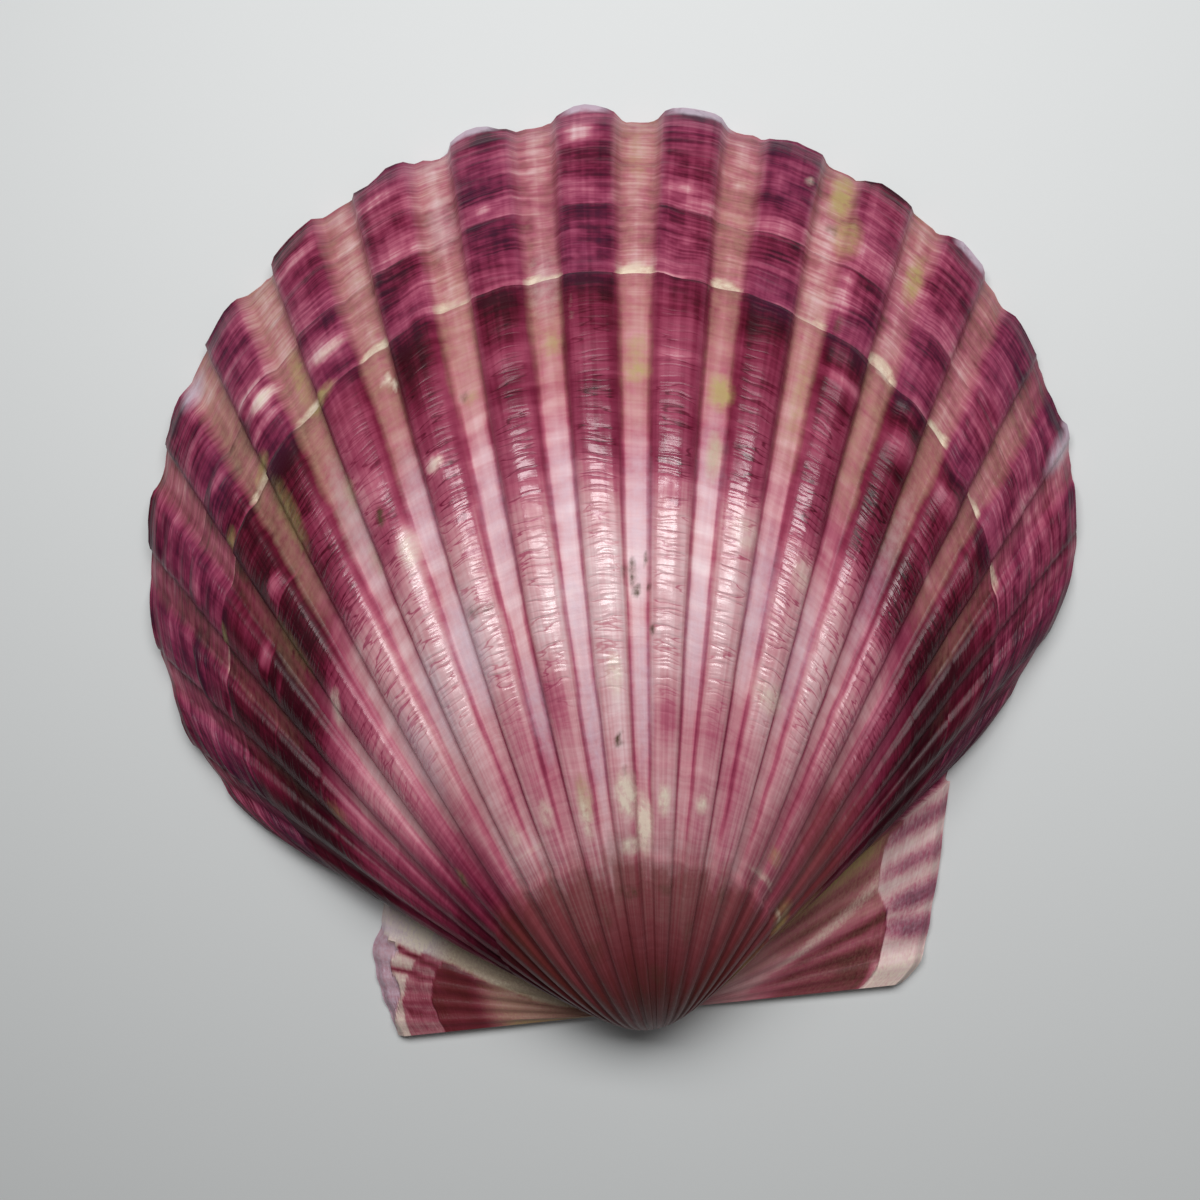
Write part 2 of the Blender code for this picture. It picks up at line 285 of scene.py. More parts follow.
outside = spiral(plan_x[:, None], plan_y[:, None], grown, SPIRAL_RATE, SPIRAL_MAX_TURN_DEG)
outside[:, :, 2] *= EAR_HEIGHT_SHARE + (1.0 - EAR_HEIGHT_SHARE) * on_disc
normals = sheet_normals(outside)

relief = crest_grid * rib_height(place_grid, stage_grid) * since(BEAK_STAGE, 3.0 * BEAK_STAGE) * on_disc
off_flanks = rise(0.0, 1.5, place_grid) * rise(0.0, 1.5, RIBS - place_grid)
for step, drop, fade in GROWTH_STEPS:
    past = stage_grid - step
    amount = 0.65 + 0.35 * cloud(1.1, 0.0, int(step * 1000))
    relief -= np.where(past > 0.0, drop * np.exp(-past / fade), 0.0) * amount * off_flanks

# The older ribs are rubbed to a narrow raised crest
CREST_RIDGE = 0.14
CREST_RIDGE_HALF = 0.13
ridge = np.exp(-((np.mod(place_grid, 1.0) - 0.5) / CREST_RIDGE_HALF) ** 2) * on_disc
relief += CREST_RIDGE * ridge * since(0.34, 0.46) * since(0.80, 0.70)

# Blisters: place in ribs, growth stage, half width in ribs, half length in stages, height
BLISTERS = (
    (13.5, 0.732, 0.3, 0.018, 0.5), (12.5, 0.738, 0.32, 0.01, 0.3), (14.5, 0.748, 0.28, 0.014, 0.34),
    (5.5, 0.838, 0.24, 0.015, 0.34), (6.55, 0.826, 0.3, 0.01, 0.24), (3.5, 0.69, 0.2, 0.012, 0.26),
    (4.55, 0.692, 0.2, 0.014, 0.32), (4.55, 0.918, 0.24, 0.009, 0.2), (6.72, 0.582, 0.18, 0.02, 0.22),
    (5.5, 0.866, 0.26, 0.009, 0.22), (4.6, 0.85, 0.2, 0.009, 0.24), (3.5, 0.85, 0.2, 0.01, 0.24),
    (8.5, 0.712, 0.3, 0.01, 0.16), (12.5, 0.775, 0.3, 0.009, 0.18), (13.5, 0.778, 0.3, 0.008, 0.18),
    (15.5, 0.74, 0.24, 0.012, 0.22), (2.5, 0.8, 0.24, 0.01, 0.22), (16.5, 0.77, 0.24, 0.012, 0.2),
    (2.5, 0.86, 0.24, 0.01, 0.2), (1.5, 0.88, 0.24, 0.012, 0.22), (7.45, 0.64, 0.16, 0.01, 0.18),
)
for *spot, height in BLISTERS:
    relief += height * np.exp(-off_spot(*spot))

# Worn lumps on the ribs, strongest towards the left margin, and crowded growth lines near the edge
LUMP = 0.10
CROWDED = 0.035
lumps = cloud(2.0, 60.0, 11) * since(0.45, 0.9)
relief += LUMP * lumps * crest_grid * (0.5 + rise(7.0, 2.0, place_grid) * since(0.75, 0.85))
relief += CROWDED * cloud(0.6, 190.0, 12) * since(0.85, 0.95) * on_disc

# Ears: low riblets along their rays, steps where the last growths begin, a thick lower corner.
# Riblets have the polar angle of one crest and a pitch, in degrees. Each pair of an edge is a polar
# angle, counted up on either side, and a growth stage, and of the pale wedge a stage and an angle.
RIBLET = 0.11
LEFT_RIBLETS = (-73.0, 4.6)
RIGHT_RIBLETS = (73.3, 6.0)
LEFT_SWELL = 0.22
CALLUS_HEIGHT = 0.25
STEP_RISE = 0.006
LEFT_CREAM_EDGE = (
    (62.0, 1.03), (66.0, 1.02), (69.0, 0.96), (70.7, 0.914), (73.6, 0.943), (75.8, 0.945), (77.7, 0.924),
    (81.0, 0.931), (86.6, 0.983), (90.0, 1.0),
)
LEFT_SECOND_EDGE = ((66.0, 0.80), (70.0, 0.83), (72.0, 0.847), (77.0, 0.89), (83.0, 0.93), (89.0, 0.946))
LEFT_FIRST_EDGE = ((70.0, 0.74), (72.0, 0.765), (74.0, 0.776), (79.0, 0.80), (81.0, 0.81))
RIGHT_STEP_EDGE = (
    (58.0, 0.88), (59.5, 0.85), (61.0, 0.784), (68.0, 0.789), (73.0, 0.835), (77.0, 0.852), (79.5, 0.848),
    (84.0, 0.85), (90.0, 0.83),
)
WEDGE_EDGE = ((0.3, 78.6), (0.41, 77.0), (0.57, 73.2), (0.72, 70.6), (0.86, 69.4), (1.0, 68.0))
left_ear = place_grid < -FLANK_FOOT
right_ear = place_grid > RIBS + FLANK_FOOT
angle_grid = np.repeat(polar[:, None], len(stage), axis=1)
left_angle = -angle_grid


def looked_up(table, value):
    """Value at each crossing, from a table of pairs."""
    return np.interp(value, *zip(*table))


def step_down(start, drop, fade):
    """Lowering past a growth step that starts at a stage."""
    past = stage_grid - start
    return -drop * rise(0.0, STEP_RISE, past) * np.exp(-np.maximum(past, 0.0) / fade)


left_cream_edge = looked_up(LEFT_CREAM_EDGE, left_angle)
left_second_edge = looked_up(LEFT_SECOND_EDGE, left_angle)
left_first_edge = looked_up(LEFT_FIRST_EDGE, left_angle)
right_step_edge = looked_up(RIGHT_STEP_EDGE, angle_grid)
in_wedge = rise(0.7, -0.7, left_angle - looked_up(WEDGE_EDGE, stage_grid)) * left_ear
callus = rise(82.0, 86.5, angle_grid) * since(0.80, 0.86) * right_ear

riblet_at, riblet_pitch = (np.where(left_ear, *pair) for pair in zip(LEFT_RIBLETS, RIGHT_RIBLETS))
off_fasciole = np.where(left_ear, rise(-69.0, -72.0, angle_grid), rise(60.5, 64.0, angle_grid))
riblets = np.cos(2 * math.pi * (angle_grid - riblet_at) / riblet_pitch)
ear_relief = RIBLET * riblets * off_fasciole * since(0.1, 0.6) + CALLUS_HEIGHT * callus
older_steps = step_down(left_second_edge, 0.08, 0.05) + step_down(left_first_edge, 0.16, 0.06)
left_steps = (older_steps + LEFT_SWELL * since(0.1, 0.3)) * (1.0 - in_wedge)
left_steps += step_down(left_cream_edge, 0.38, 0.2)
ear_relief += np.where(left_ear, left_steps, 0.0)
ear_relief += np.where(right_ear, step_down(right_step_edge, 0.20, 0.08), 0.0)
off_hinge = rise(90.0, 87.0, np.abs(angle_grid))
relief += ear_relief * (left_ear | right_ear) * off_hinge

outside = outside + normals * relief[:, :, None]
outside[:, :, 2] += SHELL_LIFT - RIM_DROP * since(1.0 - RIM_BAND, 1.0)
outside[:, 0] = (0.0, 0.0, SHELL_LIFT)

# Inside of the valve
# The hollow that held the soft body: smooth and glossy, with the ribs showing through near the
# edge, a round muscle scar, and a flat hinge plate with a pit for the ligament.
INSIDE_RATE = 1.69
INSIDE_MAX_TURN_DEG = 65.0
INSIDE_SETBACK = 3.0
RIM_WIDTH = 1.2
SIDE_WALL = 0.4
PLAIN_STAGE = 0.55
PLAIN_RELIEF = 0.15
INSIDE_EDGE_ROWS = 13
INSIDE_ROWS = 21
APEX_STAGE = 0.03
RIM_SHARES = (0.08, 0.25, 0.5, 0.8)
RIM_ROUND = 0.22
SCAR_PLACE = 11.6
SCAR_STAGE = 0.52
SCAR_HALF = (2.1, 0.11)
SCAR_DEPTH = 0.10
EAR_HOLLOW = 0.22
PIT_DEPTH = 0.6
PIT_HALF = (1.3, 1.1)
PIT_FROM_HINGE = 1.7
UNDER_SHARE = 0.985
LEAST_STAGE = 1e-4

inner_stage = np.concatenate([
    np.linspace(1.0, 0.8, INSIDE_EDGE_ROWS, endpoint=False),
    np.geomspace(0.8, APEX_STAGE, INSIDE_ROWS),
    [0.0],
])
inner_place, inner_grid = np.meshgrid(place, inner_stage, indexing="ij")
squeezed = np.clip(place, 0.0, RIBS)
squeezed = np.where(squeezed < 1.0, SIDE_WALL + (1.0 - SIDE_WALL) * squeezed, squeezed)
from_right = RIBS - squeezed
squeezed = np.where(from_right < 1.0, RIBS - SIDE_WALL - (1.0 - SIDE_WALL) * from_right, squeezed)
wall_x, wall_y = disc_plan(squeezed, RIM_WIDTH)
hollow_stage = np.maximum(inner_grid, LEAST_STAGE)
hollow = spiral(
    wall_x[:, None], wall_y[:, None] - INSIDE_SETBACK, hollow_stage, INSIDE_RATE, INSIDE_MAX_TURN_DEG,
)
hollow[:, :, 1] += INSIDE_SETBACK
see_through = PLAIN_RELIEF + (1.0 - PLAIN_RELIEF) * rise(PLAIN_STAGE, 1.0, inner_grid)
corrugation = crest[:, None] * rib_height(inner_place, hollow_stage) * see_through
scar_off = np.hypot((inner_place - SCAR_PLACE) / SCAR_HALF[0], (inner_grid - SCAR_STAGE) / SCAR_HALF[1])
corrugation += SCAR_DEPTH * (1.0 - rise(0.8, 1.05, scar_off))
inner_normals = -sheet_normals(hollow)
inner_normals[:, -1] = inner_normals[:, -2]
hollow = hollow + inner_normals * corrugation[:, :, None]

to_foot = np.where(place < 0.5 * RIBS, -place, place - RIBS)
setback = INSIDE_SETBACK * (1.0 - np.clip((to_foot - FLANK_FOOT) / (1.0 - FLANK_FOOT), 0.0, 1.0))
under_x = plan_x[:, None] * inner_grid * UNDER_SHARE
under_y = plan_y[:, None] * inner_grid * UNDER_SHARE + setback[:, None] * (1.0 - inner_grid)
pit_off = (under_x / PIT_HALF[0]) ** 2 + ((under_y - PIT_FROM_HINGE) / PIT_HALF[1]) ** 2
pit = PIT_DEPTH * np.exp(-pit_off ** 2)
middle_of_ear = rise(1.0, 0.85, to_foot)[:, None] * rise(0.0, 0.2, inner_grid) * rise(1.0, 0.9, inner_grid)
under_z = np.maximum(EAR_HOLLOW * middle_of_ear, pit * rise(0.02, 0.1, setback[:, None]))
under = np.stack([under_x, under_y, under_z], axis=-1)
inside = under + (hollow - under) * disc_share(place)[:, None, None]

# Rim
# The rounded edge between outside and inside, 0.6 to 1 mm thick, which rests on the table at the
# furrows and arches over it at the ribs.
rim_rows = []
for share in RIM_SHARES:
    row = outside[:, -1] + (inside[:, 0] - outside[:, -1]) * share
    row[:, 2] -= RIM_ROUND * math.sin(math.pi * share)
    rim_rows.append(row[:, None])
valve_points = np.concatenate([outside] + rim_rows + [inside], axis=1)
valve_points[:, :, 2] = np.maximum(valve_points[:, :, 2], 0.0)

inner_count = len(inner_stage)
rim_count = len(RIM_SHARES)
stage_rows = np.concatenate([stage, np.ones(rim_count), inner_stage])
inside_rows = np.concatenate([np.zeros(len(stage)), RIM_SHARES, np.ones(inner_count)])

# Pigment
# The animal laid pigment down with the shell in blocks, so each growth step ends one block and
# starts the next. Its amount runs from 0, bare white shell, to 1, the darkest maroon. The amount
# also holds painted shade: darker on the steep flanks, by the beak and in the creases of the crests.

# Each pair is a growth stage and an amount. Below stage 0.2 the amounts climb to 0.95 at the beak,
# partly as painted shade of the beak, which slopes away from the lamp.
MIDDLE_RIBS = (
    (0.0, 0.95), (0.12, 0.88), (0.16, 0.66), (0.2, 0.48), (0.255, 0.36), (0.268, 0.32), (0.285, 0.31),
    (0.33, 0.33), (0.37, 0.3), (0.41, 0.2), (0.45, 0.15), (0.5, 0.17), (0.54, 0.26), (0.575, 0.42),
    (0.605, 0.62), (0.64, 0.66), (0.68, 0.68), (0.71, 0.72), (0.74, 0.8), (0.783, 1.0), (0.787, 0.68),
    (0.805, 0.72), (0.835, 0.78), (0.866, 0.9), (0.87, 0.56), (0.89, 0.58), (0.905, 0.74), (0.93, 0.8),
    (0.955, 0.68), (0.975, 0.72), (0.99, 0.9), (1.0, 0.84),
)
# On the flanks the amounts stand higher than in the middle, most of all between stages 0.55 and 0.8, partly
# as painted shade of the steep flanks, which face away from the lamp.
FLANK_RIBS_AND_SHADE = (
    (0.0, 0.95), (0.16, 0.9), (0.255, 0.8), (0.268, 0.76), (0.3, 0.72), (0.36, 0.66), (0.44, 0.58),
    (0.5, 0.6), (0.545, 0.64), (0.58, 0.84), (0.64, 0.96), (0.7, 0.98), (0.74, 0.9), (0.783, 0.98),
    (0.787, 0.76), (0.82, 0.82), (0.866, 0.92), (0.87, 0.72), (0.9, 0.78), (0.93, 0.86), (0.96, 0.8),
    (0.99, 0.92), (1.0, 0.88),
)
MIDDLE_FURROWS = (
    (0.0, 0.95), (0.12, 0.86), (0.16, 0.64), (0.2, 0.46), (0.255, 0.32), (0.268, 0.24), (0.285, 0.24),
    (0.34, 0.33), (0.38, 0.31), (0.43, 0.21), (0.48, 0.15), (0.53, 0.21), (0.58, 0.32), (0.63, 0.39),
    (0.7, 0.42), (0.76, 0.47), (0.783, 0.54), (0.787, 0.28), (0.81, 0.36), (0.866, 0.48), (0.87, 0.32),
    (0.92, 0.42), (0.932, 0.2), (0.945, 0.38), (0.97, 0.34), (0.99, 0.42), (1.0, 0.5),
)
FLANK_FURROWS_AND_SHADE = (
    (0.0, 0.95), (0.255, 0.8), (0.27, 0.7), (0.3, 0.55), (0.34, 0.44), (0.44, 0.3), (0.5, 0.32),
    (0.55, 0.4), (0.59, 0.64), (0.66, 0.82), (0.74, 0.8), (0.783, 0.86), (0.787, 0.54), (0.81, 0.62),
    (0.866, 0.72), (0.87, 0.58), (0.93, 0.65), (0.97, 0.58), (1.0, 0.66),
)
FLANK_STARTS = 3.0
FLANK_REACHED = 6.0
MIDDLE_RIB = 9.9
BLOCK_JITTER = 0.013
BLOCK_RAGGED = 0.010
HELD_STEPS = (0.267, 0.785, 0.868)
HELD_REACH = 0.010

ragged = BLOCK_RAGGED * cloud(2.2, 16.0, 21) + BLOCK_JITTER * cloud(3.7, 3.0, 22, np.floor(place_grid))
for step in HELD_STEPS:
    ragged *= 1.0 - np.exp(-((stage_grid - step) / HELD_REACH) ** 2)
looked = stage_grid + ragged


def toward(amount, aim, share):
    """An amount moved towards another by a share."""
    return amount + (aim - amount) * share


from_middle = np.abs(place_grid - MIDDLE_RIB) + 0.9 * cloud(0.9, 7.0, 23)
on_flank = rise(FLANK_STARTS, FLANK_REACHED, from_middle)
rib_pigment = toward(looked_up(MIDDLE_RIBS, looked), looked_up(FLANK_RIBS_AND_SHADE, looked), on_flank)
furrow_pigment = toward(looked_up(MIDDLE_FURROWS, looked), looked_up(FLANK_FURROWS_AND_SHADE, looked), on_flank)
off_rib = np.abs(np.mod(place_grid, 1.0) - 0.5)
off_rib += 0.022 * cloud(2.0, 34.0, 27) + 0.018 * cloud(2.0, 11.0, 28)
soft_side = since(0.76, 0.86)
on_rib = rise(0.355 + 0.020 * soft_side, 0.260 - 0.055 * soft_side, off_rib)
on_rib *= rise(0.02, 0.12, place_grid) * rise(0.02, 0.12, RIBS - place_grid)
pigment_and_shade = toward(furrow_pigment, rib_pigment, on_rib)

# A dark thread runs along the foot of each rib. Nearer the edge it widens to a soft pink side, and
# the middle of each furrow is barer. Paler and darker stripes run along the ribs near the edge.
# Offsets are from the middle of the rib, in ribs.
FOOT_OFFSET = 0.325
FOOT_HALF = 0.035
FOOT_THREAD = 0.46
SOFT_OFFSET = 0.37
SOFT_HALF = 0.06
SOFT_FOOT = 0.13
BARE_FURROW = 0.06
STRIPES = 0.10
foot_thread = np.exp(-((off_rib - FOOT_OFFSET) / FOOT_HALF) ** 2) * since(0.24, 0.36)
foot_thread *= since(0.80, 0.72) * on_disc
pigment_and_shade = toward(pigment_and_shade, 1.0, FOOT_THREAD * foot_thread)
soft_foot = np.exp(-((off_rib - SOFT_OFFSET) / SOFT_HALF) ** 2) * since(0.70, 0.80) * on_disc
bare_furrow = rise(0.40, 0.50, off_rib) * since(0.56, 0.66) * on_disc
pigment_and_shade += SOFT_FOOT * soft_foot * (1.0 - on_rib) - BARE_FURROW * bare_furrow
pigment_and_shade += STRIPES * cloud(9.0, 4.0, 24) * on_rib * since(0.6, 0.75)

# Blocks, worn spots and stains seen on this valve, each a soft spot: place in ribs, growth stage,
# half width in ribs, half length in stages, strength
PALE_SPOTS = (
    (16.0, 0.85, 2.4, 0.11, 0.26), (17.4, 0.25, 2.0, 0.15, 0.45), (4.2, 0.43, 2.4, 0.1, 0.42),
    (5.6, 0.846, 0.22, 0.014, 0.95), (5.5, 0.822, 0.34, 0.006, 0.55), (6.55, 0.826, 0.3, 0.013, 0.75),
    (5.4, 0.868, 0.22, 0.01, 0.45), (4.55, 0.92, 0.22, 0.006, 0.55), (3.5, 0.85, 0.16, 0.01, 0.5),
    (4.6, 0.85, 0.16, 0.008, 0.5), (2.65, 0.94, 0.05, 0.04, 0.6), (2.25, 0.873, 0.09, 0.018, 0.55),
    (3.7, 0.689, 0.14, 0.01, 0.55), (4.58, 0.692, 0.14, 0.012, 0.65), (3.5, 0.654, 0.2, 0.006, 0.45),
    (6.5, 0.74, 0.3, 0.06, 0.38), (6.45, 0.66, 0.3, 0.035, 0.4), (6.72, 0.582, 0.16, 0.026, 0.95),
    (7.42, 0.638, 0.14, 0.009, 0.85), (6.5, 0.956, 0.28, 0.008, 0.5), (7.45, 0.96, 0.3, 0.009, 0.5),
    (8.52, 0.885, 0.1, 0.007, 0.75), (9.44, 0.963, 0.1, 0.013, 0.75), (10.48, 0.896, 0.08, 0.006, 0.6),
    (11.38, 0.932, 0.07, 0.016, 0.5), (12.38, 0.935, 0.16, 0.04, 0.4), (12.3, 0.838, 0.09, 0.032, 0.55),
    (8.5, 0.708, 0.3, 0.012, 0.3), (12.55, 0.742, 0.32, 0.008, 0.6), (13.55, 0.73, 0.28, 0.016, 0.5),
    (13.5, 0.788, 0.36, 0.005, 0.45), (14.45, 0.78, 0.36, 0.005, 0.45), (14.5, 0.742, 0.28, 0.014, 0.5),
    (14.85, 0.668, 0.2, 0.007, 0.8), (15.8, 0.975, 0.14, 0.04, 1.0), (15.7, 0.87, 0.16, 0.05, 0.6),
    (16.4, 0.86, 0.2, 0.05, 0.35), (4.2, 0.556, 0.3, 0.016, 0.8), (5.2, 0.552, 0.25, 0.012, 0.6),
    (6.7, 0.562, 0.14, 0.02, 0.7), (7.05, 0.47, 0.35, 0.05, 0.35), (8.68, 0.49, 0.1, 0.06, 0.6),
    (9.6, 0.45, 0.22, 0.02, 0.7), (9.6, 0.385, 0.16, 0.05, 0.75), (10.05, 0.5, 0.16, 0.06, 0.6),
    (11.6, 0.56, 0.3, 0.022, 0.5), (12.6, 0.545, 0.26, 0.022, 0.55), (12.3, 0.435, 0.6, 0.02, 0.5),
    (13.45, 0.56, 0.24, 0.04, 0.35), (14.5, 0.545, 0.26, 0.02, 0.35), (4.9, 0.96, 0.16, 0.03, 0.6),
    (4.1, 0.93, 0.1, 0.045, 0.3), (8.05, 0.974, 0.18, 0.01, 0.55), (10.5, 0.7, 0.3, 0.006, 0.3),
)
# Dark blocks and stains; the broad spots, over a rib wide, on both flanks and on the left by the beak are
# partly painted shade of slopes that face away from the lamp.
DARK_STAINS_AND_FLANK_SHADE = (
    (14.3, 0.93, 1.7, 0.045, 0.42), (13.6, 0.61, 1.7, 0.19, 0.2), (16.4, 0.69, 1.4, 0.06, 0.4),
    (1.8, 0.22, 2.6, 0.17, 0.95), (2.2, 0.82, 1.8, 0.11, 0.4), (3.6, 0.66, 1.2, 0.06, 0.45),
    (17.6, 0.6, 1.9, 0.19, 0.95), (17.7, 0.86, 1.5, 0.12, 0.75), (1.2, 0.66, 1.9, 0.15, 0.85),
    (1.3, 0.4, 1.6, 0.12, 0.55), (0.8, 0.86, 0.7, 0.14, 0.45), (5.45, 0.765, 0.34, 0.04, 0.55),
    (4.5, 0.8, 0.3, 0.02, 0.5), (4.55, 0.96, 0.28, 0.016, 0.4), (11.7, 0.944, 0.18, 0.02, 0.45),
    (12.68, 0.84, 0.2, 0.032, 0.45), (13.55, 0.838, 0.18, 0.02, 0.35), (15.35, 0.85, 0.18, 0.03, 0.5),
    (15.3, 0.755, 0.18, 0.024, 0.55), (14.45, 0.765, 0.3, 0.012, 0.45), (16.0, 0.8, 0.1, 0.03, 0.55),
    (16.75, 0.7, 0.2, 0.06, 0.5), (7.52, 0.755, 0.3, 0.022, 0.35), (8.55, 0.672, 0.3, 0.016, 0.35),
    (9.5, 0.672, 0.26, 0.012, 0.35), (6.6, 0.795, 0.26, 0.008, 0.5), (9.2, 0.705, 0.06, 0.02, 0.4),
    (2.5, 0.74, 0.4, 0.06, 0.4), (3.45, 0.605, 0.3, 0.03, 0.45), (5.45, 0.64, 0.22, 0.014, 0.35),
    (13.6, 0.704, 0.3, 0.007, 0.7), (13.5, 0.759, 0.3, 0.006, 0.6), (12.6, 0.718, 0.26, 0.006, 0.55),
    (16.4, 0.975, 0.2, 0.02, 0.4), (17.3, 0.93, 0.3, 0.05, 0.35), (8.4, 0.405, 0.26, 0.03, 0.35),
    (10.5, 0.385, 0.26, 0.03, 0.3), (11.5, 0.385, 0.3, 0.03, 0.2), (7.5, 0.4, 0.2, 0.03, 0.2),
)
OLIVE_SPOTS = (
    (11.05, 0.675, 0.15, 0.016, 1.0), (11.05, 0.615, 0.11, 0.024, 0.75), (10.02, 0.683, 0.16, 0.01, 0.75),
    (10.02, 0.7, 0.14, 0.02, 0.45), (9.03, 0.715, 0.12, 0.016, 0.45), (8.0, 0.685, 0.1, 0.008, 0.45),
    (12.06, 0.955, 0.12, 0.034, 0.9), (12.2, 0.905, 0.14, 0.03, 0.6), (13.06, 0.912, 0.1, 0.034, 0.8),
    (6.25, 0.786, 0.22, 0.009, 0.95), (6.05, 0.83, 0.1, 0.045, 0.5), (5.15, 0.798, 0.2, 0.012, 0.75),
    (4.3, 0.795, 0.16, 0.01, 0.55), (5.25, 0.72, 0.2, 0.05, 0.5), (4.2, 0.64, 0.2, 0.05, 0.3),
    (6.15, 0.675, 0.14, 0.02, 0.5), (6.1, 0.6, 0.12, 0.02, 0.4), (12.05, 0.7, 0.1, 0.05, 0.35),
    (3.3, 0.78, 0.16, 0.01, 0.5), (8.6, 0.318, 0.18, 0.022, 0.55), (4.2, 0.325, 0.28, 0.012, 0.5),
    (14.3, 0.31, 0.3, 0.012, 0.35), (17.0, 0.29, 1.0, 0.022, 0.55), (18.3, 0.4, 0.7, 0.06, 0.45),
    (18.0, 0.2, 1.6, 0.06, 0.5), (10.0, 0.93, 0.12, 0.05, 0.25), (2.4, 0.55, 0.3, 0.03, 0.3),
)
CREAM_SPOTS = (
    (9.6, 0.318, 0.26, 0.02, 0.85), (10.0, 0.292, 0.2, 0.024, 1.0), (9.6, 0.275, 0.3, 0.008, 0.6),
    (10.5, 0.315, 0.16, 0.014, 0.8), (11.45, 0.317, 0.16, 0.01, 0.6), (8.55, 0.305, 0.16, 0.022, 0.6),
    (7.6, 0.315, 0.18, 0.014, 0.45), (6.6, 0.31, 0.18, 0.012, 0.35), (9.55, 0.415, 0.16, 0.02, 0.55),
    (6.72, 0.58, 0.14, 0.018, 0.55), (7.42, 0.637, 0.12, 0.007, 0.6), (4.25, 0.556, 0.28, 0.01, 0.6),
    (11.6, 0.555, 0.24, 0.016, 0.35), (12.62, 0.545, 0.22, 0.016, 0.4), (12.6, 0.43, 0.4, 0.014, 0.5),
    (5.62, 0.846, 0.16, 0.009, 0.75), (6.55, 0.822, 0.24, 0.006, 0.45), (14.2, 0.284, 0.9, 0.004, 0.45),
    (16.4, 0.281, 0.5, 0.0035, 0.45), (6.8, 0.291, 0.7, 0.003, 0.3), (7.05, 0.75, 0.06, 0.006, 0.9),
    (7.13, 0.74, 0.04, 0.006, 0.8), (9.27, 0.745, 0.025, 0.03, 0.9), (11.7, 0.95, 0.05, 0.008, 0.35),
    (13.05, 0.788, 0.14, 0.006, 0.9),
)
BROWN_SPOTS = (
    (9.93, 0.5, 0.06, 0.012, 0.95), (9.98, 0.485, 0.07, 0.006, 0.9), (9.8, 0.5, 0.05, 0.005, 0.6),
    (10.13, 0.512, 0.035, 0.006, 0.8), (10.18, 0.488, 0.03, 0.004, 0.7), (10.23, 0.452, 0.05, 0.004, 0.8),
    (9.5, 0.362, 0.03, 0.005, 0.8), (9.64, 0.362, 0.03, 0.005, 0.8), (9.57, 0.357, 0.05, 0.003, 0.7),
    (9.57, 0.367, 0.05, 0.003, 0.6), (11.6, 0.2, 0.3, 0.02, 0.3), (7.6, 0.185, 0.4, 0.016, 0.3),
    (12.7, 0.245, 0.24, 0.012, 0.3), (8.5, 0.215, 0.2, 0.014, 0.3), (10.2, 0.15, 0.6, 0.014, 0.3),
    (9.57, 0.338, 0.04, 0.005, 0.85), (7.65, 0.493, 0.06, 0.006, 0.9), (7.4, 0.497, 0.14, 0.007, 0.45),
    (6.5, 0.628, 0.07, 0.01, 0.95), (12.33, 0.8, 0.05, 0.014, 0.7), (12.04, 0.905, 0.05, 0.012, 0.55),
    (7.92, 0.69, 0.08, 0.006, 0.4), (4.2, 0.325, 0.28, 0.004, 0.6), (4.2, 0.337, 0.24, 0.003, 0.5),
    (9.4, 0.235, 0.5, 0.006, 0.45), (10.6, 0.238, 0.3, 0.006, 0.4),
)
LILAC_SPOTS = (
    (7.1, 0.47, 0.35, 0.06, 0.55), (6.2, 0.45, 0.35, 0.06, 0.4), (5.3, 0.43, 0.4, 0.06, 0.35),
    (9.0, 0.47, 0.25, 0.06, 0.45), (8.0, 0.4, 0.22, 0.05, 0.45), (9.02, 0.38, 0.22, 0.07, 0.5),
    (10.05, 0.4, 0.22, 0.07, 0.45), (11.0, 0.46, 0.22, 0.08, 0.45), (12.0, 0.5, 0.25, 0.08, 0.45),
    (13.0, 0.48, 0.25, 0.08, 0.35), (14.0, 0.6, 0.2, 0.12, 0.3), (15.75, 0.975, 0.16, 0.04, 0.9),
    (4.85, 0.98, 0.16, 0.02, 0.7), (8.0, 0.89, 0.2, 0.05, 0.25), (9.0, 0.78, 0.2, 0.05, 0.25),
    (10.04, 0.545, 0.22, 0.08, 0.45), (9.02, 0.56, 0.22, 0.08, 0.45), (8.02, 0.56, 0.22, 0.09, 0.4),
    (11.02, 0.59, 0.22, 0.07, 0.35), (7.02, 0.6, 0.22, 0.08, 0.4), (6.04, 0.64, 0.24, 0.09, 0.35),
)
SPOT_POWER = 1.5


def spots(marks):
    """Soft spots over the outside, the strongest where they meet."""
    total = np.zeros_like(stage_grid)
    for *spot, strength in marks:
        total = np.maximum(total, strength * np.exp(-off_spot(*spot) ** SPOT_POWER))
    return total


# Pale wavy bands cross the middle furrows between growth lines
BAND_LENGTH = 0.034
BAND_STRENGTH = 0.13
band_turns = stage_grid / BAND_LENGTH + 0.35 * cloud(1.6, 5.0, 32)
pale_bands = rise(0.1, 0.9, np.sin(2.0 * math.pi * band_turns)) * since(0.42, 0.50) * since(0.76, 0.66)
pale_bands *= (1.0 - 0.75 * on_rib) * rise(6.5, 4.5, from_middle) * on_disc
pale_bands *= 0.6 + 0.4 * cloud(1.1, 9.0, 33)
pigment_and_shade -= BAND_STRENGTH * pale_bands

# Amounts of pigment left in a bare spot and on a worn lip
BARE = 0.12
WORN_LIP = 0.18
pigment_and_shade = toward(pigment_and_shade, BARE, spots(PALE_SPOTS))
# Dark stains, and painted shade where the broad dark spots lie on the flanks
pigment_and_shade = toward(pigment_and_shade, 1.0, 0.8 * spots(DARK_STAINS_AND_FLANK_SHADE))
lilac = np.maximum(spots(LILAC_SPOTS), lip * since(0.990, 0.996))

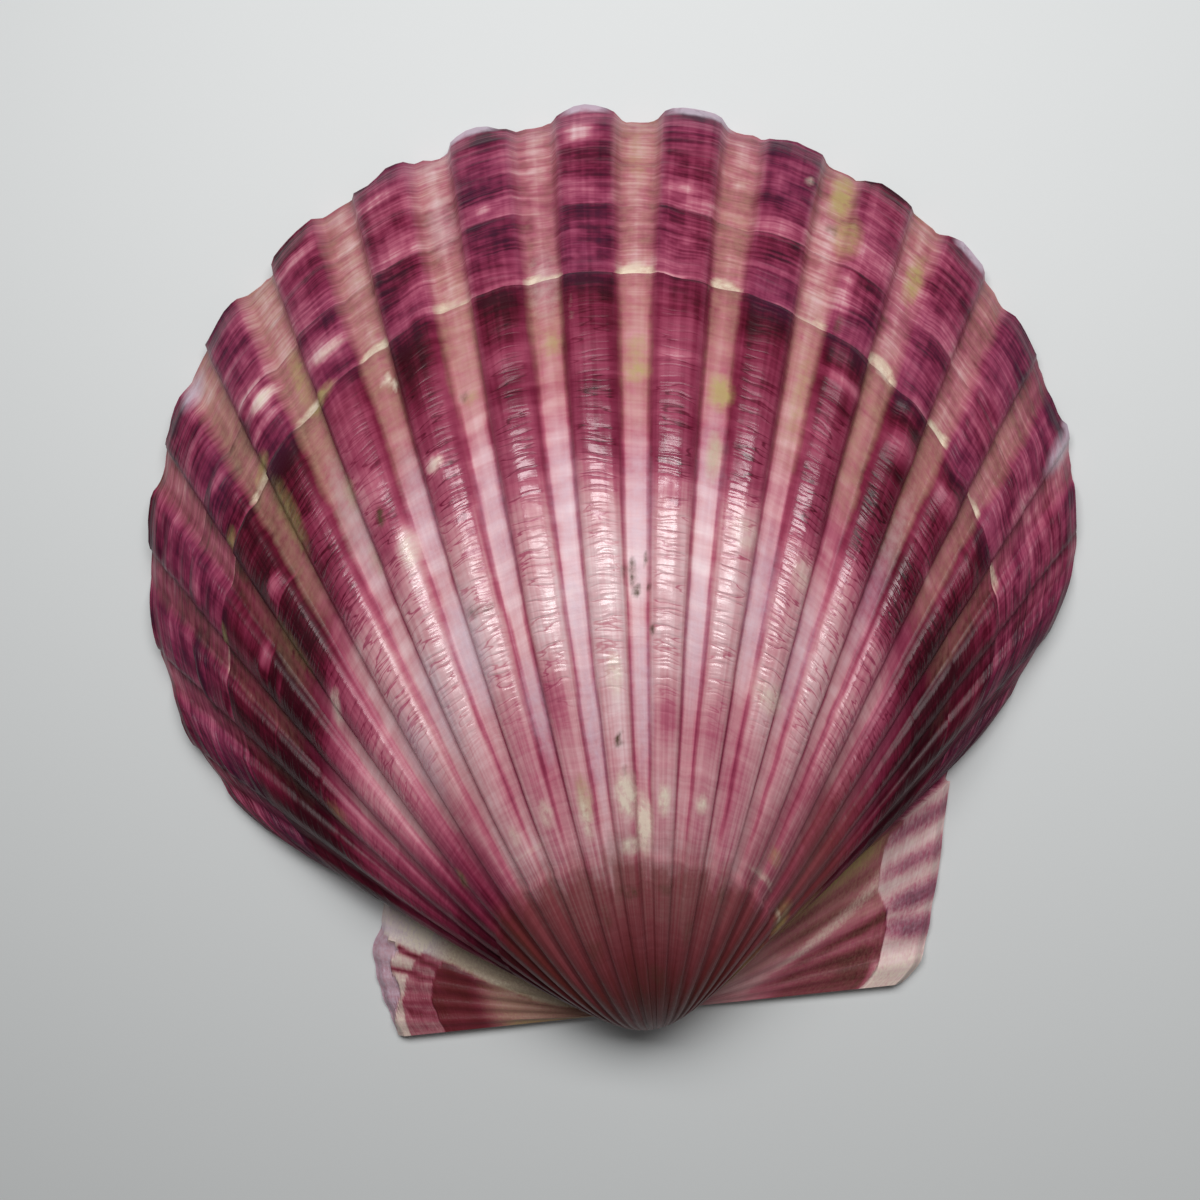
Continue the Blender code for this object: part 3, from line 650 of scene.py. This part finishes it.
# A cream edge shows in the furrows where the growth step at 0.785 begins, and each growth step has
# a worn, paler lip. Each pair is a growth stage and a strength.
CREAM_STEP = 0.785
LIP_HALF = 0.0022
WORN_LIPS = ((0.785, 0.55), (0.868, 0.30), (0.677, 0.25), (0.925, 0.25))
cream_reach = 0.0065 + 0.0055 * cloud(3.3, 0.0, 29)
past_step = stage_grid - CREAM_STEP
step_cream = rise(0.0, 0.0012, past_step) * rise(1.6, 0.8, past_step / cream_reach)
step_cream *= (1.0 - on_rib) * on_disc * (0.75 + 0.35 * cloud(5.0, 60.0, 30)) * rise(8.0, 5.5, from_middle)
cream = np.maximum(spots(CREAM_SPOTS), 0.80 * step_cream)
olive = np.maximum(spots(OLIVE_SPOTS), 0.60 * step_cream)
for step, strength in WORN_LIPS:
    edge_line = np.exp(-((stage_grid - step - LIP_HALF) / LIP_HALF) ** 2) * on_disc
    edge_line *= rise(-0.5, 0.6, cloud(3.0, 0.0, int(step * 1000) + 1))
    pigment_and_shade = toward(pigment_and_shade, WORN_LIP, strength * edge_line)

# Furrows are stained tan, most on the left, the young shell by the beak and on both flanks is
# redder, and there is a purple cast near the edge. The dark red-brown by the beak and low on the
# right flank is partly painted shade, where the shell slopes away from the lamp.
LEFT_STAIN = 4.6
in_furrow = (1.0 - on_rib) * on_disc
tan = 0.52 - 0.34 * rise(4.5, 7.0, from_middle)
tan *= in_furrow * since(0.58, 0.66) * (0.6 + 0.4 * cloud(0.8, 8.0, 25))
tan += 0.12 * in_furrow * np.exp(-((place_grid - LEFT_STAIN) / 2.2) ** 2) * since(0.45, 0.55)
young = rise(0.300, 0.235, looked + 0.010 * cloud(2.7, 30.0, 31)) * (0.95 - 0.25 * rise(0.18, 0.08, looked))
young *= 1.0 - 0.8 * rise(5.0, 2.0, place_grid) * since(0.42, 0.27)
young_flanks = rise(4.0, 7.0, place_grid) * rise(2.5, 6.0, from_middle) * since(0.54, 0.36)
young = np.maximum(young, 0.90 * young_flanks)
purple = since(0.74, 0.80) * (0.6 + 0.4 * cloud(1.3, 14.0, 26))

# The ears have rays of pigment: polar angle at the first stage and at the last one, half width in
# degrees, strength, first stage, last stage
LEFT_RAYS = (
    (-76.5, -70.3, 1.0, 1.0, 0.52, 0.925), (-77.6, -74.8, 0.9, 0.9, 0.62, 0.95),
    (-81.2, -82.0, 1.3, 0.65, 0.66, 0.93), (-87.5, -84.6, 1.6, 0.8, 0.62, 0.925),
    (-89.5, -88.6, 1.6, 0.9, 0.62, 0.81), (-67.0, -67.0, 0.9, 0.7, 0.95, 1.02),
    (-71.0, -71.0, 1.2, 0.45, 0.96, 1.02), (-75.5, -75.5, 2.0, 0.6, 0.97, 1.02),
    (-83.0, -82.5, 2.5, 0.4, 0.95, 1.02),
)
RIGHT_RAYS = (
    (61.2, 62.3, 1.3, 0.8, 0.79, 1.02), (66.2, 67.4, 1.5, 0.75, 0.79, 1.02),
    (72.6, 73.3, 2.0, 0.85, 0.84, 1.02), (77.0, 79.5, 2.2, 0.8, 0.84, 1.02),
    (63.0, 65.2, 1.4, 0.6, 0.45, 0.79), (67.6, 68.6, 1.2, 0.6, 0.45, 0.79),
    (78.2, 74.0, 1.3, 1.0, 0.5, 0.85), (83.5, 80.2, 1.5, 0.85, 0.42, 0.84),
    (88.8, 86.5, 2.6, 1.0, 0.52, 0.82),
)
RAY_POWER = 2.6
RAY_FADES_IN = 0.09
RAY_ENDS = 0.006


def rays(table):
    """Pigment of an ear's rays."""
    total = np.zeros_like(stage_grid)
    for first_angle, last_angle, half, strength, first, last in table:
        centre = first_angle + (last_angle - first_angle) * (stage_grid - first) / (last - first)
        across = np.exp(-np.abs((angle_grid - centre) / half) ** RAY_POWER)
        along = since(first - RAY_FADES_IN, first + RAY_FADES_IN) * since(last + RAY_ENDS, last - RAY_ENDS)
        total = np.maximum(total, strength * across * along)
    return total


# Left ear: plum beyond its middle, three steps that each start paler, and a bare wedge by the flank
CREAM_RISE = 0.005
past_cream = rise(0.0, CREAM_RISE, stage_grid - left_cream_edge)
past_second = rise(0.0, STEP_RISE, stage_grid - left_second_edge)
past_first = rise(0.0, STEP_RISE, stage_grid - left_first_edge)
left_rays = rays(LEFT_RAYS)
left_pigment = np.maximum(0.44 + 0.40 * since(0.56, 0.68) - 0.46 * past_first, 0.88 * left_rays)
left_pigment = toward(left_pigment, BARE, past_second * (1.0 - left_rays))
left_pigment = toward(left_pigment, 0.34 + 0.40 * left_rays, past_cream)
left_pigment = toward(left_pigment, 0.10, in_wedge)
left_tan = (0.55 * since(0.66, 0.52) + 0.08) * (1.0 - past_first)
hinge_olive = 0.5 * rise(-86.0, -89.0, angle_grid) * since(0.62, 0.5)
left_olive = np.maximum(0.55 * in_wedge * since(0.88, 0.72), hinge_olive)
left_cream = 0.5 * past_second * (1.0 - past_cream) * (1.0 - left_rays) + 0.5 * in_wedge * since(0.95, 0.8)
left_lilac = np.maximum(0.6 * past_cream, in_wedge * since(0.68, 0.86))

# Right ear: dark rays and one light ray on a pink ground, and a pale last growth with a bare corner
right_step = rise(0.0, STEP_RISE, stage_grid - right_step_edge)
right_rays = rays(RIGHT_RAYS)
light_angle = 76.0 - 9.5 * (stage_grid - 0.45) / 0.35
light_ray = np.exp(-np.abs((angle_grid - light_angle) / 2.1) ** 2.2) * since(0.35, 0.55)
right_pigment = 0.54 + 0.26 * rise(76.0, 83.0, angle_grid) * since(0.42, 0.62) - 0.24 * since(0.56, 0.34)
right_pigment = toward(right_pigment, 0.20, 0.75 * light_ray)
right_pigment = toward(right_pigment, WORN_LIP, np.maximum(right_step, callus))
right_pigment = toward(right_pigment, 0.86, right_rays * (1.0 - callus))
right_tan = 0.22 * (1.0 - right_step) + np.where(angle_grid < 72.0, 0.15, 0.0)
right_olive = 0.80 * rise(64.5, 59.5, angle_grid) * since(0.84, 0.70)
right_cream = 0.25 * callus + 0.35 * right_step * (1.0 - right_rays)
right_cream = np.maximum(right_cream, 0.35 * light_ray * (1.0 - right_step))

# Where the older ribs are wrinkled and where they are wet-looking, and how strongly growth lines
# and threads along the ribs show
near_middle = rise(7.0, 4.5, from_middle)
wrinkled = rise(0.30, 0.17, off_rib) * since(0.36, 0.46) * since(0.79, 0.70) * on_disc
wrinkled *= (0.55 + 0.45 * since(0.72, 0.62)) * (0.4 + 0.6 * near_middle)
glossy = wrinkled * (0.18 + 0.82 * since(0.68, 0.58)) * (0.3 + 0.7 * near_middle)
outside_layers = {
    "pigment_and_shade": pigment_and_shade, "tan": tan, "olive": olive, "cream": cream, "brown": spots(BROWN_SPOTS),
    "lilac": lilac, "young": young, "purple": purple, "wrinkled": wrinkled, "glossy": glossy,
    "lined": (0.26 + 0.74 * since(0.70, 0.84)) * (0.45 + 0.55 * on_disc),
    "streaked": 0.25 + 0.20 * on_rib + 0.55 * since(0.34, 0.24),
}
ear_layers = {
    "pigment_and_shade": (left_pigment, right_pigment), "tan": (left_tan, right_tan),
    "olive": (left_olive, right_olive), "cream": (left_cream, right_cream),
    "lilac": (left_lilac, 0.25 * right_step), "purple": (0.0, 0.0),
    "young": (0.60 - 0.10 * past_first, 0.16 - 0.10 * right_step),
}
for name, (on_left, on_right) in ear_layers.items():
    outside_layers[name] = toward(np.where(left_ear, on_left, on_right), outside_layers[name], on_disc)

EAR_PATTERN_WIDTH = 5.0
ear_share = np.maximum(place - RIBS, 0.0) - np.maximum(-place, 0.0)
pattern_place = np.clip(place, 0.0, RIBS) + EAR_PATTERN_WIDTH * ear_share
row_count = valve_points.shape[1]
valve_layers = {
    "rib": np.repeat(pattern_place[:, None], row_count, axis=1),
    "growth": np.repeat(stage_rows[None, :], len(place), axis=0),
    "inside": np.repeat(inside_rows[None, :], len(place), axis=0),
}
for name, values in outside_layers.items():
    held = np.repeat(values[:, -1:], row_count - len(stage), axis=1)
    valve_layers[name] = np.concatenate([np.clip(values, 0.0, 1.0), held], axis=1)

# One closed piece
# A grid whose crossings take the places worked out above, gathered at the beak and at the apex of
# the hollow, with the flat back wall of the hinge filled in.
MERGE = 1e-7
SHARP_DEG = 55.0
columns, rows = valve_points.shape[:2]
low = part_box("valve")[0]
beak = Vector((low.x + BEAK_FROM_LOW_CORNER[0] * MM, low.y + BEAK_FROM_LOW_CORNER[1] * MM, 0.0))
sheet = bmesh.new()
bmesh.ops.create_grid(sheet, x_segments=columns - 1, y_segments=rows - 1, size=0.5)
layers = {name: sheet.verts.layers.float.new(name) for name in valve_layers}
ends = []
for vert in sheet.verts:
    column = round((vert.co.x + 0.5) * (columns - 1))
    row = round((vert.co.y + 0.5) * (rows - 1))
    vert.co = beak + Vector(valve_points[column, row]) * MM
    for name, layer in layers.items():
        vert[layer] = valve_layers[name][column, row]
    if row == 0 or row == rows - 1:
        ends.append(vert)
bmesh.ops.remove_doubles(sheet, verts=ends, dist=MERGE)
hinge_edges = [edge for edge in sheet.edges if edge.is_boundary]
wall = bmesh.ops.contextual_create(sheet, geom=hinge_edges)["faces"]
bmesh.ops.triangulate(sheet, faces=wall, ngon_method="EAR_CLIP")
bmesh.ops.recalc_face_normals(sheet, faces=sheet.faces)
valve_mesh = bpy.data.meshes.new("scallop_valve")
sheet.to_mesh(valve_mesh)
sheet.free()
valve_mesh.shade_smooth()
valve_mesh.set_sharp_from_angle(angle=math.radians(SHARP_DEG))
scallop_valve = bpy.data.objects.new("scallop_valve", valve_mesh)
bpy.context.scene.collection.objects.link(scallop_valve)

# Shell calcite
# Foliated calcite, coloured by pigment laid down with it and by painted shade on the steep
# flanks, by the beak and in the creases of the crests: satin on the outside, with the gloss of a
# wet stone on the crests of the older ribs, and porcelain white inside.
shell_calcite = bpy.data.materials.new("foliated_shell_calcite")
shell_calcite.use_nodes = True
shell_tree = shell_calcite.node_tree
shell_shader = shell_tree.nodes["Principled BSDF"]


def linear(code):
    """A colour given as sRGB hex, as linear values."""
    channels = [int(code[at:at + 2], 16) / 255.0 for at in (1, 3, 5)]
    return [c / 12.92 if c <= 0.04045 else ((c + 0.055) / 1.055) ** 2.4 for c in channels] + [1.0]


def add_node(kind, sources, out=0, stops=None, **settings):
    """Adds one node with its settings, and gives each input a value or another node's output."""
    made = shell_tree.nodes.new("ShaderNode" + kind)
    for name, value in settings.items():
        setattr(made, name, value)
    for key, source in sources.items():
        if isinstance(source, bpy.types.NodeSocket):
            shell_tree.links.new(source, made.inputs[key])
        else:
            made.inputs[key].default_value = source
    if stops:
        ramp = made.color_ramp
        while len(ramp.elements) < len(stops):
            ramp.elements.new(0.5)
        for element, (at, code) in zip(ramp.elements, stops):
            element.position = at
            element.color = linear(code)
    return made.outputs[out]


carried = {}
for name in valve_layers:
    carried[name] = add_node("Attribute", {}, out="Fac", attribute_name=name)
across_and_along = add_node("CombineXYZ", {0: carried["rib"], 1: carried["growth"]})

# Growth lines wander as they cross the ribs
DRIFT = 0.012
DRIFT_LUMPS = (1.3, 12.0, 1.0)
drift_places = add_node("Mapping", {"Vector": across_and_along, "Scale": DRIFT_LUMPS})
drift = add_node("TexNoise", {"Vector": drift_places, "Scale": 1.0, "Detail": 2.0})
drifted = add_node("Math", {0: drift, 1: DRIFT, 2: carried["growth"]}, operation="MULTIPLY_ADD")
across_and_drifted = add_node("CombineXYZ", {0: carried["rib"], 1: drifted})

# Noise over ribs and growth: lumps a rib, lumps from beak to edge, detail, roughness, seed. A rib
# is 4 to 6 mm wide at the edge, and the valve is 77 mm long, so 150 lumps are 0.5 mm lines.
PATTERNS = {
    "growth_lines": (0.7, 150.0, 2.0, 0.55, 1.0),
    "fine_growth_lines": (1.2, 340.0, 2.0, 0.5, 8.0),
    "threads": (13.0, 5.0, 2.0, 0.5, 2.0),
    "blotches": (2.6, 38.0, 3.0, 0.6, 3.0),
    "wash": (0.7, 6.0, 2.0, 0.5, 4.0),
    "ragged": (7.0, 110.0, 4.0, 0.65, 5.0),
    "folds": (0.9, 88.0, 2.0, 0.5, 6.0),
    "polish": (2.5, 30.0, 3.0, 0.6, 7.0),
}
pattern = {}
for name, (per_rib, per_valve, detail, coarseness, seed) in PATTERNS.items():
    scaled = add_node(
        "Mapping",
        {"Vector": across_and_drifted, "Location": (0.0, 0.0, seed), "Scale": (per_rib, per_valve, 1.0)},
    )
    noise = {"Vector": scaled, "Scale": 1.0, "Detail": detail, "Roughness": coarseness}
    pattern[name] = add_node("TexNoise", noise)

# Crinkles of the rubbed crests: low folds 0.5 to 1 mm apart that run across the rib, with creases
# where the noise crosses its middle value. The creases add to the pigment amount as painted shade.
BULGE_HALF = 0.12
CREASE_HALF = 0.022
CREASE_FLOOR = 0.004
CREASE_SHADE = 0.22
off_crease = add_node("Math", {0: pattern["folds"], 1: 0.5}, operation="SUBTRACT")
off_crease = add_node("Math", {0: off_crease}, operation="ABSOLUTE")
bulge = {"Value": off_crease, "From Min": 0.0, "From Max": BULGE_HALF}
bulge = add_node("MapRange", bulge, interpolation_type="SMOOTHSTEP")
crease_shade = {"Value": off_crease, "From Min": CREASE_HALF, "From Max": CREASE_FLOOR}
crease_shade = add_node("MapRange", crease_shade, interpolation_type="SMOOTHSTEP")
crease_shade = add_node("Math", {0: crease_shade, 1: carried["wrinkled"]}, operation="MULTIPLY")

# Pigment amount with its painted shade, darker in the creases of the crests, made uneven by growth
# lines, threads along the ribs and blotches. Noise between the two bounds swings the amount, where
# the layer at the end of the line is strong.
UNEVEN = (
    ("growth_lines", 0.38, 0.62, 0.12, "lined"),
    ("fine_growth_lines", 0.36, 0.64, 0.10, "lined"),
    ("threads", 0.36, 0.64, 0.17, "streaked"),
    ("blotches", 0.34, 0.66, 0.22, "lined"),
    ("wash", 0.34, 0.66, 0.12, "on_valve"),
)
PIGMENT_COLOURS = (
    (0.0, "#eed4d5"), (0.12, "#e2bbbf"), (0.28, "#cf959c"), (0.45, "#b46075"), (0.60, "#98405a"),
    (0.75, "#7a243f"), (0.88, "#580f25"), (1.0, "#360513"),
)
# The creases of the crests are darkened as painted shade
amount = {0: crease_shade, 1: CREASE_SHADE, 2: carried["pigment_and_shade"]}
amount = add_node("Math", amount, operation="MULTIPLY_ADD")
for name, low, high, swing, where in UNEVEN:
    swung = {"Value": pattern[name], "From Min": low, "From Max": high}
    swung.update({"To Min": -0.5 * swing, "To Max": 0.5 * swing})
    swung = add_node("MapRange", swung, interpolation_type="SMOOTHSTEP")
    shown = {0: swung, 1: 1.0 if where == "on_valve" else carried[where], 2: amount}
    amount = add_node("Math", shown, operation="MULTIPLY_ADD")
shell_colour = add_node("ValToRGB", {"Fac": amount}, stops=PIGMENT_COLOURS)

# Tints over it: a purple cast near the edge, red-brown young shell, darkened partly as painted
# shade by the beak, then stains and bare patches, each with a ragged edge. Name of the layer,
# colour, strength, raggedness. A tint starts to show at one amount of its layer and is full at another.
TINT_STARTS = 0.10
TINT_FULL = 0.85
TINTS = (
    ("purple", "#71406f", 0.15, 1.0),
    ("young", "#6f332c", 0.74, 0.9),
    ("tan", "#b39478", 0.80, 2.0),
    ("olive", "#b0a066", 0.80, 2.4),
    ("lilac", "#d0c0cf", 0.75, 2.0),
    ("cream", "#e8dac6", 0.85, 3.0),
    ("brown", "#55412f", 0.95, 3.0),
)
for name, code, strength, raggedness in TINTS:
    worn = {0: pattern["ragged"], 1: raggedness, 2: 1.0 - 0.5 * raggedness}
    worn = add_node("Math", worn, operation="MULTIPLY_ADD")
    edged = add_node("Math", {0: carried[name], 1: worn}, operation="MULTIPLY")
    share = {"Value": edged, "From Min": TINT_STARTS, "From Max": TINT_FULL, "To Max": strength}
    share = add_node("MapRange", share)
    mixed = {0: share, 6: shell_colour, 7: linear(code)}
    shell_colour = add_node("Mix", mixed, out=2, data_type="RGBA")

# Inside: white with a lilac cast towards the hinge, and a plum band along the newest edge
INSIDE_COLOURS = (
    (0.0, "#9c7a72"), (0.12, "#c9aeb0"), (0.30, "#e6dadb"), (0.60, "#efe8e7"), (0.80, "#e6d5dc"),
    (0.88, "#b98aa2"), (0.94, "#8a4568"), (1.0, "#6b2a4a"),
)
INSIDE_WASH = 0.08
INSIDE_STARTS = 0.2
INSIDE_FULL = 0.7
washed = {0: pattern["wash"], 1: INSIDE_WASH, 2: -0.5 * INSIDE_WASH}
washed = add_node("Math", washed, operation="MULTIPLY_ADD")
washed = add_node("Math", {0: carried["growth"], 1: washed}, operation="ADD")
inside_colour = add_node("ValToRGB", {"Fac": washed}, stops=INSIDE_COLOURS)
inside_share = {"Value": carried["inside"], "From Min": INSIDE_STARTS, "From Max": INSIDE_FULL}
inside_share = add_node("MapRange", inside_share)
mixed = {0: inside_share, 6: shell_colour, 7: inside_colour}
shell_colour = add_node("Mix", mixed, out=2, data_type="RGBA")
shell_tree.links.new(shell_colour, shell_shader.inputs["Base Color"])

# Gloss: satin overall, and a clear wet-looking film on the rubbed crests
LEAST_ROUGHNESS = 0.22
ROUGHNESS_SWING = 0.30
FILM_STARTS = 0.36
FILM_FULL = 0.58
GLOSS = {"IOR": 1.55, "Specular IOR Level": 0.18, "Coat Roughness": 0.20, "Coat IOR": 1.68}
roughness = {0: pattern["polish"], 1: ROUGHNESS_SWING, 2: LEAST_ROUGHNESS}
roughness = add_node("Math", roughness, operation="MULTIPLY_ADD")
film = {"Value": pattern["polish"], "From Min": FILM_STARTS, "From Max": FILM_FULL}
film = add_node("MapRange", film, interpolation_type="SMOOTHSTEP")
film = add_node("Math", {0: film, 1: carried["glossy"]}, operation="MULTIPLY")
shell_tree.links.new(roughness, shell_shader.inputs["Roughness"])
shell_tree.links.new(film, shell_shader.inputs["Coat Weight"])
for name, value in GLOSS.items():
    shell_shader.inputs[name].default_value = value

# Relief too fine for the mesh: growth lines, strongest near the edge, the folds of the crests, and
# a little of the ragged noise and of the threads. The full height is 0.14 mm.
FINE_RELIEF = 0.00014
RELIEF_STRENGTH = 0.8
fine_relief = {0: pattern["growth_lines"], 1: carried["lined"]}
fine_relief = add_node("Math", fine_relief, operation="MULTIPLY")
folded = add_node("Math", {0: bulge, 1: carried["wrinkled"]}, operation="MULTIPLY")
for source, share in ((folded, 0.50), (pattern["ragged"], 0.25), (pattern["threads"], 0.12)):
    fine_relief = add_node("Math", {0: source, 1: share, 2: fine_relief}, operation="MULTIPLY_ADD")
outside_share = add_node("Math", {0: 1.0, 1: inside_share}, operation="SUBTRACT")
fine_relief = add_node("Math", {0: fine_relief, 1: outside_share}, operation="MULTIPLY")
bump = {"Height": fine_relief, "Strength": RELIEF_STRENGTH, "Distance": FINE_RELIEF}
bump = add_node("Bump", bump)
shell_tree.links.new(bump, shell_shader.inputs["Normal"])
shell_tree.links.new(bump, shell_shader.inputs["Coat Normal"])
valve_mesh.materials.append(shell_calcite)

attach(scallop_valve, "root")
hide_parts("valve")

# Table and light
# A plain pale table top, one soft lamp 165 mm above it and beyond the margin, and an even pale
# surround. The matt painted board gives an even ground on which only the shadow shows.
TABLE_SIDE = 3.0
BOARD_COLOUR = "#dfe1e1"
BOARD_ROUGHNESS = 0.9
table = bmesh.new()
bmesh.ops.create_grid(table, x_segments=1, y_segments=1, size=0.5 * TABLE_SIDE)
table_mesh = bpy.data.meshes.new("table_top")
table.to_mesh(table_mesh)
table.free()
table_top = bpy.data.objects.new("table_top", table_mesh)
bpy.context.scene.collection.objects.link(table_top)
painted_board = bpy.data.materials.new("matt_painted_board")
painted_board.use_nodes = True
board_shader = painted_board.node_tree.nodes["Principled BSDF"]
board_shader.inputs["Base Color"].default_value = linear(BOARD_COLOUR)
board_shader.inputs["Roughness"].default_value = BOARD_ROUGHNESS
table_mesh.materials.append(painted_board)

LAMP_FROM = Vector((0.018, 0.074, 0.165))
LAMP_SIZE = (0.20, 0.08)
LAMP_WATTS = 0.35
SURROUND_COLOUR = "#eef1f2"
SURROUND_STRENGTH = 0.08
lamp_data = bpy.data.lights.new("soft_lamp", "AREA")
lamp_data.shape = "RECTANGLE"
lamp_data.size, lamp_data.size_y = LAMP_SIZE
lamp_data.energy = LAMP_WATTS
soft_lamp = bpy.data.objects.new("soft_lamp", lamp_data)
soft_lamp.location = LAMP_FROM
soft_lamp.rotation_euler = LAMP_FROM.to_track_quat("Z", "Y").to_euler()
bpy.context.scene.collection.objects.link(soft_lamp)
surround = bpy.data.worlds.new("pale_surround")
surround.use_nodes = True
surround_shader = surround.node_tree.nodes["Background"]
surround_shader.inputs["Color"].default_value = linear(SURROUND_COLOUR)
surround_shader.inputs["Strength"].default_value = SURROUND_STRENGTH
bpy.context.scene.world = surround
bpy.context.scene.view_settings.view_transform = "Standard"

# Camera
# It looks almost straight down from 103 mm above the table, as the photograph was taken, with the
# hinge at the bottom of the frame and the shell turned a few degrees in it.
CAMERA_FROM_BEAK = (10.07, 26.53, 102.99)
CAMERA_AIM_FROM_BEAK = (0.06, 34.69, 0.0)
CAMERA_ROLL_DEG = 7.46
CAMERA_LENS = 36.0
CAMERA_SENSOR = 36.0
CAMERA_CLIP = (0.005, 10.0)
camera_place = beak + Vector(CAMERA_FROM_BEAK) * MM
forward = (beak + Vector(CAMERA_AIM_FROM_BEAK) * MM - camera_place).normalized()
roll = math.radians(CAMERA_ROLL_DEG)
sideways_axis = forward.cross(Vector((math.sin(roll), math.cos(roll), 0.0))).normalized()
upward_axis = sideways_axis.cross(forward)
camera_data = bpy.data.cameras.new("camera")
camera_data.lens = CAMERA_LENS
camera_data.sensor_width = CAMERA_SENSOR
camera_data.clip_start, camera_data.clip_end = CAMERA_CLIP
camera = bpy.data.objects.new("camera", camera_data)
turned = Matrix((sideways_axis, upward_axis, -forward)).transposed().to_4x4()
camera.matrix_world = Matrix.Translation(camera_place) @ turned
bpy.context.scene.collection.objects.link(camera)
bpy.context.scene.camera = camera
